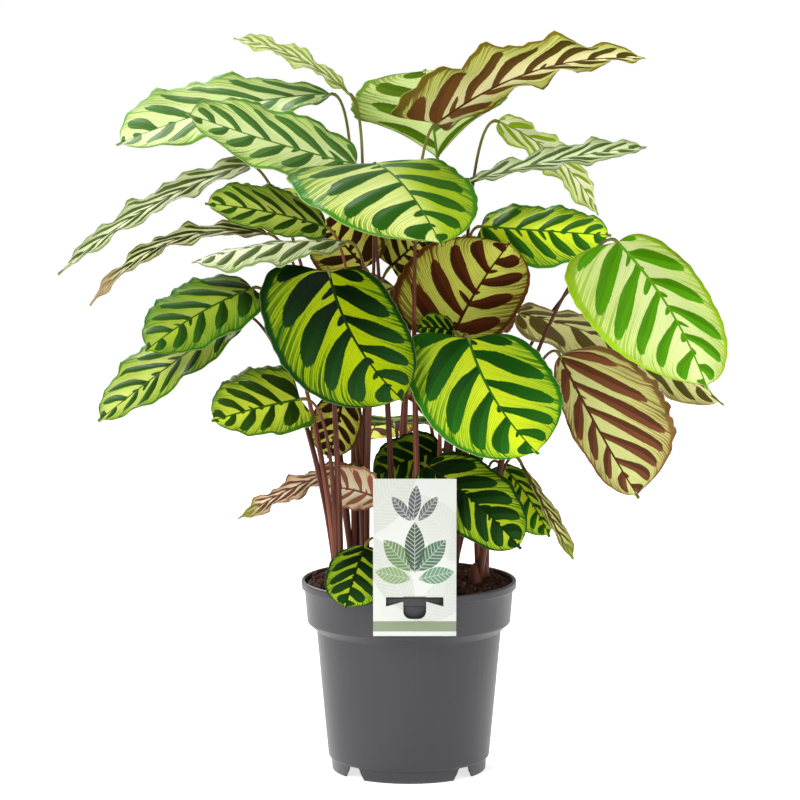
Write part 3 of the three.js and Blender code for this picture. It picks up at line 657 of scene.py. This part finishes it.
def build_blade(leaf, number, material):
    """A thin blade with a keel under its midrib, and what its pattern reads at each point."""
    name = leaf[0]
    rows = (1 - np.cos(np.pi * np.arange(BLADE_ROWS + 1) / BLADE_ROWS)) / 2
    steps = np.arange(-BLADE_COLUMNS, BLADE_COLUMNS + 1) / BLADE_COLUMNS
    columns = np.sign(steps) * np.abs(steps) ** COLUMN_CROWDING
    s, t = np.meshgrid(rows, columns, indexing="ij")
    middle, half, vein = blade_surface(leaf, s, t)
    normals = unit(np.cross(np.gradient(middle, axis=1), np.gradient(middle, axis=0)))
    rim = np.abs(t) ** 6
    thick = (BLADE_THICKNESS * (1 - rim) + BLADE_EDGE * rim)[..., None]
    keel = (KEEL * np.exp(-(np.abs(t) * half / RIB_WIDTH) ** 2) * (1 - 0.7 * s))[..., None]
    upper = middle + normals * thick / 2
    lower = middle - normals * (thick / 2 + keel)
    index = np.arange(s.size).reshape(s.shape)
    top = np.stack([index[:-1, :-1], index[:-1, 1:], index[1:, 1:], index[1:, :-1]], -1).reshape(-1, 4)
    under = top[:, ::-1] + s.size
    edge = np.concatenate([index[0, :-1], index[:-1, -1], index[-1, :0:-1], index[:0:-1, 0]])
    beyond = np.roll(edge, -1)
    band = np.stack([beyond, edge, edge + s.size, beyond + s.size], -1)
    points = np.concatenate([upper.reshape(-1, 3), lower.reshape(-1, 3)])
    piece = new_piece(f"blade_{name}", points, np.concatenate([top, under, band]))
    pattern = np.stack([vein, t, s], -1).reshape(-1, 3)
    add_attribute(piece, "vein", np.concatenate([pattern, pattern]))
    facts = np.zeros((2, s.size, 3))
    facts[:, :, 0] = number + 1
    facts[0, :, 1] = 1
    facts[:, :, 2] = half.ravel()
    add_attribute(piece, "leaf", facts.reshape(-1, 3))
    dress(piece, material, f"leaf_{name}")


def leaf_material(upper_look, under_look):
    """Dark ovals along the side veins on a light ground, fine lines between them and a dark margin."""
    upper, under = UPPERS[upper_look], UNDERS[under_look]
    material, tree = new_material(f"leaf_{upper_look}_{under_look}")
    vein, across, along = attribute(tree, "vein")
    seed, face, half = attribute(tree, "leaf")
    seed = seed.round()
    depth = abs(across)
    side = across.over(0)
    station = vein + side * 0.5

    drift = noise(vein * 0.9, depth * 2, seed * 3.7 + side * 9)
    ragged = noise(vein * 30, depth * 2.2, seed * 1.3 + side * 5, detail=1)
    fine = noise(vein * 3, depth * 30, seed * 2.1 + side * 5, detail=1)
    tone = noise(vein * 16, depth * 1.4, seed + side * 3, detail=3)

    # Large ovals, one to a cell, wide beyond their middle and blunt at their outer end.
    cell = station.floor()
    inside = station - cell - 0.5
    first, second, third = draws(cell, side, seed)
    broad, pleat_shade_weight, _ = draws(side, seed, 7)
    leaning = inside + drift * 0.18 + (third - 0.5) * 0.10
    reach = first * 0.12 + 0.74 - along.step(0.72, 1) * 0.14
    share = depth / reach
    width = second * 0.06 + broad * 0.06 + (0.26 + upper.get("wide", 0)) + along.step(0.22, 0) * 0.12
    waist = upper.get("waist", 0.38)
    bulge = share.step(-0.05, 0.6) * (1 - waist) + waist
    end = (1 - share ** 5).at_least(0).root()
    teeth = fine * 0.035 + ragged * (share.step(0.6, 1) * 0.14 + 0.01)
    oval = (width * bulge * end - abs(leaning) + teeth).step(-0.012, 0.02) * share.step(1.03, 0.97)

    # Small ovals by the midrib between the large ones, some of them missing.
    border = (station + 0.5).floor()
    gap = abs(station - border + drift * 0.2)
    first, second, third = draws(border + 60, side, seed)
    share = depth / (first * first * 0.20 + 0.06)
    end = (1 - share ** 2.5).at_least(0).root()
    small = ((second * 0.08 + 0.07) * end - gap + fine * 0.04).step(-0.01, 0.02)
    small = small * third.over(0.42) * share.step(1.05, 0.95)

    # Lines that run in from the margin along the veins, broad at their outer ends.
    line = strands(station, depth, side, seed, ragged + fine * 0.8, 6, 0.30, 0.40)
    faint = strands(station, depth, side + 2, seed, fine, 13, -0.35, 0.26)
    tail = (0.022 - abs(leaning) + depth * 0.02 + fine * 0.03).step(-0.012, 0.012)
    tail = tail * depth.step(0.6, 0.7)

    band = drift * 0.08 + 0.09 + along.step(0.3, 0) * 0.10 + along.step(0.85, 1) * 0.06
    margin = (depth + band - 1 + ragged * 0.10).step(-0.02, 0.02)
    rim = depth.step(0.984, 0.992)
    rib = (depth * half - (1.15 - along * 0.72)).step(0.25, -0.25)
    scorch = noise(vein * 0.7, across * 1.5, seed * 5.3)
    scorch = scorch.step(0.25, 0.30) * depth.step(0.82, 0.99)

    def role(name):
        return mixed(face, under[name], upper[name])

    ground = mixed(depth.step(0.1, 0.95), role("inner"), role("outer"))
    if "second" in upper:
        ground = mixed(across.step(0.35, -0.35) * face, ground, upper["second"])
    # Painted shade: the ground darkens towards the blade's base, as if shaded by the leaves above, and
    # lightens towards the tip; besides that it varies at random.
    colour = shaded(ground, tone * 0.36 + drift * 0.22 + along.step(0, 0.9) * 0.26 + 0.84)
    dark = mixed((along + depth * 0.4).step(0.2, 1.15), role("oval"), role("oval_tip"))
    # Painted shade: each oval is split along its central vein, one half darkened and the other
    # lightened, as if light fell on one side of a fold.
    pleat_shade = leaning.step(-0.03, 0.03) - 0.5
    dark = shaded(dark, tone * 0.5 + drift * 0.3 + pleat_shade * (pleat_shade_weight * 0.8 - 0.2) + 1)
    edge = mixed(depth.step(0.8, 1), role("line"), role("margin"))
    # Painted shade: the margin and lines darken towards the base as well.
    edge = shaded(edge, tone * 0.6 + drift * 0.4 + along.step(0, 0.8) * 0.5 + 0.7)
    for cover, ink in [(faint * 0.6, role("line")), (line * 0.92, role("line")), (tail, role("line")),
                       (margin, edge), (oval, dark), (small, dark), (rim, role("rim")),
                       (rib, role("rib")), (scorch * 0.75, SCORCHED)]:
        colour = mixed(cover, colour, ink)
    dry = upper.get("dry", under.get("dry"))
    if dry:
        colour = mixed((along + drift * 0.2).step(0.74, 0.92) * 0.8, colour, dry)

    grain = noise(vein * 60, depth * 40, seed, detail=1)
    rough = grain * 0.1 + drift * 0.08 - face * 0.12 + 0.5
    veinlet = (vein * 24 * math.pi).sine()
    crease = abs(inside).step(0, 0.22) * depth.step(0, 0.2) * depth.step(1, 0.7)
    relief = veinlet * 0.05 + grain * 0.12 - crease * face * 0.35
    return finish(material, colour, rough, relief, rise=1, shine=0.04)


def strands(station, depth, side, seed, wobble, count, first_start, most):
    """Lines along the veins, a number to a cell, each from its own start out to the margin."""
    strand = station * count
    number = strand.floor()
    apart = abs(strand - number - 0.5)
    first, second, _ = draws(number, side + 4, seed)
    start = first * 0.6 + first_start
    grown = depth.step(start, 1.06)
    line = (grown * most + 0.03 - apart + wobble * 0.17).step(-0.07, 0.07)
    return line * depth.over(start) * (second * 0.5 + 0.5)


# Stalks
def bezier(points, share):
    share = np.asarray(share)[:, None]
    rest = 1 - share
    a, b, c, d = points
    return rest ** 3 * a + 3 * rest ** 2 * share * b + 3 * rest * share ** 2 * c + share ** 3 * d


def soil_height(x, y):
    share = np.hypot(x, y) / (COLLAR_TOP_RADIUS - WALL)
    return SOIL_CROWN - (SOIL_CROWN - SOIL_EDGE) * share ** 2


def stalk_path(leaf, shoot):
    rib = midrib(leaf)
    way = rib_way(rib, 0)
    end = rib[0] - STALK_GAP * way
    lean = end[:2] - shoot
    foot = lean / np.linalg.norm(lean) * STALK_RING
    root = np.array([shoot[0] + foot[0], shoot[1] + foot[1], soil_height(*shoot) - STALK_SUNK])
    bend = np.array(leaf[7] if len(leaf) > 7 else [0, 0], float)
    aside = [*(lean * STALK_LEAN + bend), (end[2] - root[2]) * STALK_RISE]
    return [root, root + aside, end - STALK_REACH * way, end]


def tube(path, radii, flat, tag):
    """Rings of points along a path, with their faces and a vector for each: share, angle, tag."""
    ways = unit(np.gradient(path, axis=0))
    normal = np.array([1, 0, 0])
    angles = 2 * np.pi * np.arange(STALK_SIDES) / STALK_SIDES
    points = []
    facts = []
    for place, (centre, way, radius, width) in enumerate(zip(path, ways, radii, flat)):
        normal = unit(normal - normal @ way * way)
        other = np.cross(way, normal)
        ring = (np.cos(angles)[:, None] * normal * width + np.sin(angles)[:, None] * other) * radius
        points.append(centre + ring)
        share = place / (len(path) - 1)
        facts += [[share, angle / (2 * np.pi), tag] for angle in angles]
    index = np.arange(len(path) * STALK_SIDES).reshape(len(path), STALK_SIDES)
    beside = np.roll(index, -1, 1)
    sides = np.stack([index[:-1], beside[:-1], beside[1:], index[1:]], -1).reshape(-1, 4)
    return np.concatenate(points), [*sides, index[0][::-1], index[-1]], facts


def build_shoot(number, material):
    """A crown, and a stalk from it to each of the shoot's leaves."""
    shoot = np.array(SHOOTS[number], float)
    heap = Heap()
    for leaf in [leaf for leaf in LEAVES if leaf[1] == number]:
        path = bezier(stalk_path(leaf, shoot), np.linspace(0, 1, STALK_STEPS))
        rib = midrib(leaf)
        join = along_rib(rib, np.array(JOIN_STEPS)) - JOIN_DEPTH * rib[3]
        path = np.concatenate([path, join])
        share = np.linspace(0, 1, len(path))
        radii = STALK_LOW_RADIUS + (STALK_TOP_RADIUS - STALK_LOW_RADIUS) * smooth_step(0, 0.7, share)
        radii = radii + KNUCKLE * np.exp(-((share - KNUCKLE_PLACE) / KNUCKLE_LENGTH) ** 2)
        radii[-2:] *= STALK_NARROWING
        flat = 1 + SHEATH_WIDENING * smooth_step(0.42, 0.3, share) * smooth_step(0, 0.1, share)
        heap.add(*tube(path, radii, flat, letters(leaf[0])))
    heights = np.linspace(CROWN_LOW, CROWN_TOP, len(CROWN_RADII))
    crown = np.array([[*shoot, soil_height(*shoot) + z] for z in heights])
    points, faces, facts = tube(crown, CROWN_RADII, np.ones(len(crown)), number)
    heap.add(points, faces, [[CROWN_SHARE, *fact[1:]] for fact in facts])
    piece = new_piece(f"shoot_{number + 1}", heap.points, heap.faces)
    add_attribute(piece, "stalk", heap.facts)
    dress(piece, material, f"stalks_{number + 1}")


def stalk_material():
    material, tree = new_material("stalk")
    share, angle, tag = attribute(tree, "stalk")
    tag = tag.round()
    tall = object_place(tree)[2].step(430, 520) * 0.22
    streak = noise(share * 5, angle * 12, tag, detail=3)
    shade_patch = noise(share * 9, angle * 2, tag + 40)
    first, second, _ = draws(tag, 3, 5)
    # The lower stalk mixes a lit-side brown and a shaded-side brown along streaks around it: painted
    # light and shade, with a random lean for each stalk.
    low = mixed(streak * 2.3 + first * 0.7 + 0.22, "#A05C46", "#260C06")
    high = mixed(streak + 0.5, "#8A8A2C", "#5C5818")
    colour = mixed((share + shade_patch * 0.3 + tall).step(0.66, 0.92), low, high)
    colour = mixed((share + shade_patch * 0.1).step(0.14, 0.02), colour, "#6A3A2A")
    # Painted shade: a broad darker patch around one side of each stalk, and some whole stalks darker
    # than others at random, standing for stalks further back.
    colour = shaded(colour, shade_patch * 0.7 + second * 0.3 + 0.85)
    return finish(material, colour, streak * 0.2 + 0.46, streak, rise=0.4, shine=0.2)


# Pot
def arc(middle, radius, first, last, steps):
    angles = np.radians(np.linspace(first, last, steps))
    return [[middle[0] + radius * math.cos(a), middle[1] + radius * math.sin(a)] for a in angles]


def lathe(profile, sides):
    """A closed profile of [radius, height] turned about Z. Its ends may lie on the axis."""
    turns = np.arange(sides) * 2 * np.pi / sides
    points = []
    rings = []
    for radius, height in profile:
        if radius < 1e-6:
            rings.append([len(points)] * sides)
            points.append([0, 0, height])
        else:
            rings.append(list(range(len(points), len(points) + sides)))
            points += [[radius * math.cos(a), radius * math.sin(a), height] for a in turns]
    faces = []
    for low, high in zip(rings[:-1], rings[1:]):
        for side in range(sides):
            after = (side + 1) % sides
            face = [low[side], low[after], high[after], high[side]]
            faces.append(list(dict.fromkeys(face)))
    return points, faces


def pot_profile():
    """The pot's closed outline as [radius, height], from the pad up the outside and down the inside."""
    floor_low = FLOOR_TOP - WALL
    return [
        [0, 0], [PAD_RADIUS, 0], [PAD_RADIUS + PAD_SLOPE, floor_low],
        [FOOT_RADIUS - WALL, floor_low], [FOOT_RADIUS - WALL, 0.5], [FOOT_RADIUS - WALL + 0.4, 0],
        [FOOT_RADIUS - 0.4, 0], [FOOT_RADIUS, 0.5], [FOOT_RADIUS + 0.3, FOOT_TOP - 0.5],
        *arc([BODY_LOW_RADIUS - 3, BODY_LOW + 1.6], 3, -75, 0, 6),
        [BODY_LOW_RADIUS + 4, 55], [BODY_TOP_RADIUS - 0.1, BODY_TOP - 1],
        *arc([BODY_TOP_RADIUS + 1.6, BODY_TOP + 0.6], 1.6, 180, 140, 4),
        *arc([COLLAR_LOW_RADIUS - 2.6, COLLAR_LOW + 0.9], 2.6, -50, 0, 6),
        [COLLAR_TOP_RADIUS - 0.3, LIP_LOW - 1.4], [COLLAR_TOP_RADIUS, LIP_LOW - 0.4],
        *arc([RIM_RADIUS - 1.2, LIP_LOW + 1.6], 1.2, -60, 0, 5),
        [RIM_RADIUS, POT_HEIGHT - 1.6],
        *arc([RIM_RADIUS - 1.5, POT_HEIGHT - 1.5], 1.5, 10, 170, 9),
        [COLLAR_TOP_RADIUS - WALL + 0.4, LIP_LOW], [COLLAR_LOW_RADIUS - WALL, COLLAR_LOW + WALL],
        [BODY_TOP_RADIUS - WALL, BODY_TOP + WALL], [BODY_LOW_RADIUS - WALL, FLOOR_TOP],
        [PAD_RADIUS + PAD_SLOPE + WALL / 2, FLOOR_TOP], [PAD_RADIUS + WALL / 2, WALL], [0, WALL],
    ]


def mirrored(side, middle=0):
    """A closed outline from one half of it: that half, and its mirror image on the way back."""
    return side + [[2 * middle - x, z] for x, z in reversed(side)]


def prism(outline_points, depth, azimuth, distance):
    """A block with an outline in x and z, set out from the axis at an azimuth."""
    turn = math.radians(azimuth - 90)
    points = []
    for y in (distance - depth / 2, distance + depth / 2):
        for x, z in outline_points:
            points.append([x * math.cos(turn) - y * math.sin(turn),
                           x * math.sin(turn) + y * math.cos(turn), z])
    size = len(outline_points)
    faces = [list(range(size)), list(range(2 * size - 1, size - 1, -1))]
    faces += [[(a + 1) % size, a, a + size, (a + 1) % size + size] for a in range(size)]
    return points, faces


def settle(piece):
    """Makes the piece's modifiers part of its mesh."""
    shape = piece.evaluated_get(bpy.context.evaluated_depsgraph_get())
    mesh = bpy.data.meshes.new_from_object(shape)
    piece.modifiers.clear()
    piece.data = mesh


def cut(piece, cutters):
    """Takes the cutters away from the piece's mesh."""
    for cutter in cutters:
        modifier = piece.modifiers.new("cut", "BOOLEAN")
        modifier.object = cutter
        modifier.operation = "DIFFERENCE"
        modifier.solver = "EXACT"
    settle(piece)
    for cutter in cutters:
        bpy.data.objects.remove(cutter)


def sharpen(piece, degrees):
    """Creases the piece wherever its faces meet more sharply than this."""
    piece.data.set_sharp_from_angle(angle=math.radians(degrees))


def build_pot():
    pot = new_piece("nursery_pot", *lathe(pot_profile(), POT_SIDES))
    gate = mirrored([
        [NOTCH_LOW_WIDTH / 2, -1],
        [NOTCH_SHOULDER_WIDTH / 2 + 1.2, NOTCH_SHOULDER - 1],
        [NOTCH_SHOULDER_WIDTH / 2, NOTCH_SHOULDER + 0.4],
        [NOTCH_TOP_WIDTH / 2 + 0.4, NOTCH_HEIGHT - 0.8],
        [NOTCH_TOP_WIDTH / 2 - 0.6, NOTCH_HEIGHT],
    ])
    cutters = []
    for azimuth in NOTCH_AZIMUTHS:
        block = prism(gate, NOTCH_DEPTH, azimuth, FOOT_RADIUS - 0.1 * NOTCH_DEPTH)
        cutters.append(new_piece(f"notch_{azimuth}", *block))
    low, high = FLOOR_TOP - 6, FLOOR_TOP + 4
    rod, sides = lathe([[0, low], [DRAIN_RADIUS, low], [DRAIN_RADIUS, high], [0, high]], DRAIN_SIDES)
    for azimuth in DRAIN_AZIMUTHS:
        way = math.radians(azimuth)
        drill = np.array(rod) + [DRAIN_RING * math.cos(way), DRAIN_RING * math.sin(way), 0]
        cutters.append(new_piece(f"drill_{azimuth}", drill, sides))
    cut(pot, cutters)
    sharpen(pot, POT_CREASE)
    dress(pot, pot_material(), "pot")


def pot_material():
    material, tree = new_material("pot")
    x, y, z = object_place(tree)
    turn = y.math("ARCTAN2", x)
    flow = noise(turn * 9, z * 0.012, 2, detail=3)
    cloud = noise(x * 0.02, y * 0.02, z * 0.02, detail=4)
    grain = noise(x * 1.6, y * 1.6, z * 1.6)
    scuff = noise(turn * 60, z * 0.9, 5)
    colour = mixed(cloud * 0.6 + flow * 0.5 + 0.5, "#353437", "#3D3C40")
    # The top of the rim is painted lighter, partly wear and partly a painted highlight where the lip
    # catches the light; the foot is lighter with wear.
    wear_and_rim_highlight = (z - POT_HEIGHT + 1.6 + scuff * 3).step(0, 1.6) * 0.35
    wear_and_rim_highlight = wear_and_rim_highlight + (z + scuff * 5).step(2.6, 0.4) * 0.4
    colour = mixed(wear_and_rim_highlight, colour, "#545356")
    rough = cloud * 0.10 + grain * 0.08 + scuff * 0.06 + 0.40
    return finish(material, colour, rough, grain * 0.6 + flow * 1.2, rise=0.12, shine=0.4)


# Soil
def build_soil():
    """A heaped bed with crumbs of peat and bark lying on it."""
    reach = COLLAR_TOP_RADIUS - WALL - SOIL_GAP
    radii = np.concatenate([[0], np.linspace(0.03, 1, SOIL_RINGS)]) * reach
    turns = np.arange(SOIL_SIDES) * 2 * np.pi / SOIL_SIDES
    radius, turn = np.meshgrid(radii, turns, indexing="ij")
    x = radius * np.cos(turn)
    y = radius * np.sin(turn)
    lumps = np.zeros_like(x)
    for size, height in LUMPS:
        for _ in range(LUMP_WAVES):
            way = rng.uniform(0, 2 * np.pi)
            shift = rng.uniform(0, 2 * np.pi)
            lumps += height / 2 * np.sin((x * math.cos(way) + y * math.sin(way)) * 2 * np.pi / size
                                         + shift + 1.7 * np.sin(x / size + y * 0.7 / size))
    z = soil_height(x, y) + lumps * smooth_step(1, 0.96, radius / reach) - SOIL_SUNK
    points = np.stack([x, y, z], -1).reshape(-1, 3)
    index = np.arange(x.size).reshape(x.shape)
    beside = np.roll(index, -1, 1)
    faces = np.stack([index[:-1], index[1:], beside[1:], beside[:-1]], -1).reshape(-1, 4)
    faces = [list(dict.fromkeys(face)) for face in faces.tolist()]
    taper = (BODY_TOP_RADIUS - WALL - 3) / reach
    skirt = [[p[0] * taper, p[1] * taper, SOIL_LOW] for p in points[index[-1]]]
    low = np.arange(SOIL_SIDES) + len(points)
    faces += np.stack([index[-1], low, np.roll(low, -1), beside[-1]], -1).tolist()
    faces.append(low[::-1].tolist())
    heap = Heap()
    heap.add([*points, *skirt], faces, [[0.3, 0, 0]] * (len(points) + SOIL_SIDES))
    shape, sides = chunk_shape()
    for _ in range(CRUMBS):
        out = math.sqrt(rng.uniform(0, 1)) * (reach - CRUMB_GAP)
        way = rng.uniform(0, 2 * np.pi)
        spot = np.array([out * math.cos(way), out * math.sin(way)])
        size = rng.uniform(*(CRUMB_SIZES if rng.uniform() < CRUMB_SHARE else CHUNK_SIZES))
        stretch = rng.uniform(0.5, 1.4, 3) * size
        crumb = shape * (1 + rng.uniform(-0.25, 0.25, shape.shape)) * stretch
        crumb = crumb @ random_turn() + [*spot, soil_height(*spot) + rng.uniform(-0.9, 1.1)]
        heap.add(crumb, sides, [[rng.uniform(0, 1), rng.uniform(0, 1), 1]] * len(crumb))
    soil = new_piece("potting_mix", heap.points, heap.faces)
    add_attribute(soil, "crumb", heap.facts)
    sharpen(soil, SOIL_CREASE)
    dress(soil, soil_material(), "soil")


def chunk_shape():
    """A small rough ball's points and faces."""
    ball = bmesh.new()
    bmesh.ops.create_icosphere(ball, subdivisions=1, radius=1)
    points = np.array([list(vertex.co) for vertex in ball.verts])
    faces = [[vertex.index for vertex in face.verts] for face in ball.faces]
    ball.free()
    return points, faces


def random_turn():
    axes, _ = np.linalg.qr(rng.normal(size=(3, 3)))
    return axes * np.sign(np.linalg.det(axes))


def soil_material():
    material, tree = new_material("soil")
    x, y, z = object_place(tree)
    pick, shade, loose = attribute(tree, "crumb")
    cloud = noise(x * 0.35, y * 0.35, z * 0.35, detail=5, roughness=0.7)
    grit = noise(x * 2.4, y * 2.4, z * 2.4, detail=3)
    colour = mixed(cloud * 1.6 + 0.5, "#1E0C06", "#48200F")
    colour = mixed(loose * (shade * 0.8), colour, "#66301A")
    colour = mixed(loose * pick.over(0.93) * 0.8, colour, "#8A6242")
    colour = shaded(colour, grit * 1.1 + 1)
    return finish(material, colour, grit * 0.2 + 0.86, grit + cloud, rise=1.2)


# Card
def build_card():
    """A plate with its tee-shaped tongue cut out, folded over the rim and turned down inside."""
    wing = SLOT_MIDDLE - SLOT_WIDTH / 2
    edge = SLOT_MIDDLE - TONGUE_WIDTH / 2
    corner = [edge + TONGUE_CORNER, SLOT_TOP - TONGUE_LENGTH + TONGUE_CORNER]
    slot = mirrored([[wing, SLOT_TOP], [wing, SLOT_TOP - SLOT_WING_DROP],
                     [edge, SLOT_TOP - SLOT_INNER_DROP],
                     *arc(corner, TONGUE_CORNER, 180, 270, 8)], SLOT_MIDDLE)
    front = CARD_BACK - CARD_THICKNESS
    corners = mirrored([[CARD_LEFT, CARD_LOW + CARD_HEIGHT], [CARD_LEFT, CARD_LOW]],
                       CARD_LEFT + CARD_WIDTH / 2)
    block = prism(corners, CARD_THICKNESS, 90, CARD_BACK - CARD_THICKNESS / 2)
    plate = new_piece("hang_card", *block)
    window = prism(slot, SLOT_CUT, 90, CARD_BACK)
    cut(plate, [new_piece("slot_cutter", *window)])
    bend = POT_HEIGHT + CARD_GAP
    inside = TONGUE_BACK - CARD_THICKNESS
    turn = [inside - TONGUE_BEND, bend - TONGUE_BEND]
    side = [[front, SLOT_TOP + CARD_THICKNESS], [front, SLOT_TOP], [CARD_BACK + CARD_THICKNESS, bend],
            *arc(turn, TONGUE_BEND, 90, 0, 7),
            [inside, TONGUE_LOW], [TONGUE_BACK, TONGUE_LOW],
            *arc(turn, TONGUE_BEND + CARD_THICKNESS, 0, 90, 7),
            [CARD_BACK + CARD_THICKNESS, bend + CARD_THICKNESS]]
    strap = prism([[-y, z] for y, z in reversed(side)], TONGUE_WIDTH, 0, SLOT_MIDDLE)
    join(plate, new_piece("tongue", *strap))
    bevel(plate, CARD_BEVEL)
    sharpen(plate, CARD_CREASE)
    dress(plate, card_material(), "card")


def join(piece, other):
    """Makes the other piece's mesh part of this one's."""
    mesh = bmesh.new()
    mesh.from_mesh(piece.data)
    mesh.from_mesh(other.data)
    bmesh.ops.recalc_face_normals(mesh, faces=mesh.faces)
    mesh.to_mesh(piece.data)
    mesh.free()
    bpy.data.objects.remove(other)


def bevel(piece, width):
    """Rounds the piece's edges a little, so that they catch the light."""
    modifier = piece.modifiers.new("bevel", "BEVEL")
    modifier.width = width * MM
    modifier.segments = 2
    modifier.limit_method = "ANGLE"
    settle(piece)


def card_material():
    """Pale coated card with plain leaf outlines and a green band along its foot."""
    material, tree = new_material("card")
    x, y, z = object_place(tree)
    across = (x - CARD_LEFT) / CARD_WIDTH
    up = (z - CARD_LOW) / CARD_WIDTH
    fibre = noise(x * 3, z * 3, 0, detail=3)
    colour = mixed(fibre + 0.5, "#D8DAD5", "#D1D4CE")
    front = (y - CARD_BACK + CARD_THICKNESS / 2).step(0.1, -0.1)
    for middle, turn, long, wide, ink in CARD_LEAVES:
        print_share = printed_leaf(across - middle[0], up - middle[1], math.radians(turn), long, wide)
        colour = mixed(print_share * front, colour, ink)
    band = up.step(0.183, 0.181) * up.step(0.055, 0.058) * front
    colour = mixed(band, colour, "#839073")
    colour = shaded(colour, fibre * 0.03 + 1)
    return finish(material, colour, fibre * 0.05 + 0.34, fibre, rise=0.03)


def printed_leaf(x, z, turn, long, wide):
    """How much ink a printed leaf lays down at a point. Its veins are left paler."""
    along = x * math.cos(turn) + z * math.sin(turn)
    off = z * math.cos(turn) - x * math.sin(turn)
    share = along / (long / 2)
    room = (1 - share * share).at_least(0) * (wide / 2) - abs(off)
    ribs = ((along - abs(off) * 0.8) * (2 * math.pi / PRINTED_VEIN_GAP)).sine()
    veins = ribs.step(0.55, 0.8).at_least(abs(off).step(0.006, 0.003))
    return room.step(-0.002, 0.002) * (1 - veins * 0.55)


# Stage
def build_stage():
    """A white table without an end under a pale sky, with large soft lamps."""
    corners = [[x, y, 0] for x, y in ((-1, -1), (1, -1), (1, 1), (-1, 1))]
    floor = new_piece("floor", np.array(corners) * FLOOR_REACH, [[0, 1, 2, 3]])
    material, tree = new_material("floor")
    shader = tree.nodes["Principled BSDF"]
    x, y, _ = object_place(tree)
    cloud = noise(x * 0.004, y * 0.004, 0)
    tree.links.new(mixed(cloud + 0.5, "#F2F2F1", "#F5F5F4"), shader.inputs["Base Color"])
    shader.inputs["Roughness"].default_value = FLOOR_ROUGHNESS
    shader.inputs["Emission Color"].default_value = linear(WHITE)
    shader.inputs["Emission Strength"].default_value = FLOOR_GLOW
    floor.data.materials.append(material)
    world = bpy.data.worlds.new("studio")
    world.use_nodes = True
    tree = world.node_tree
    place = tree.nodes.new("ShaderNodeTexCoord")
    height = parts(tree, place.outputs["Generated"])[2]
    sky = height.step(0.45, 0) * (SKY_LOW - SKY_TOP) + SKY_TOP
    tree.links.new(sky.socket, tree.nodes["Background"].inputs["Strength"])
    tree.nodes["Background"].inputs["Color"].default_value = linear(WHITE)
    bpy.context.scene.world = world
    for name, place, target, size, power in LAMPS:
        lamp = bpy.data.lights.new(name, "AREA")
        lamp.shape = "SQUARE"
        lamp.size = size * MM
        lamp.energy = power
        stand(lamp, place, target)


def stand(data, place, target):
    """Stands a lamp or a camera at a place, looking at its target."""
    thing = bpy.data.objects.new(data.name, data)
    thing.location = Vector(place) * MM
    thing.rotation_euler = (Vector(target) - Vector(place)).to_track_quat("-Z", "Y").to_euler()
    bpy.context.scene.collection.objects.link(thing)
    return thing


def build_camera():
    data = bpy.data.cameras.new("camera")
    data.lens = LENS
    data.sensor_width = SENSOR
    data.clip_start, data.clip_end = CAMERA_CLIP
    bpy.context.scene.camera = stand(data, CAMERA_PLACE, CAMERA_TARGET)


build_camera()
build_stage()
build_pot()
build_soil()
build_card()
materials = {}
for number, leaf in enumerate(LEAVES):
    look = leaf[6]
    if look not in materials:
        materials[look] = leaf_material(*look.split())
    build_blade(leaf, number, materials[look])
stalk = stalk_material()
for number in range(len(SHOOTS)):
    build_shoot(number, stalk)
bpy.context.scene.view_settings.view_transform = "Standard"
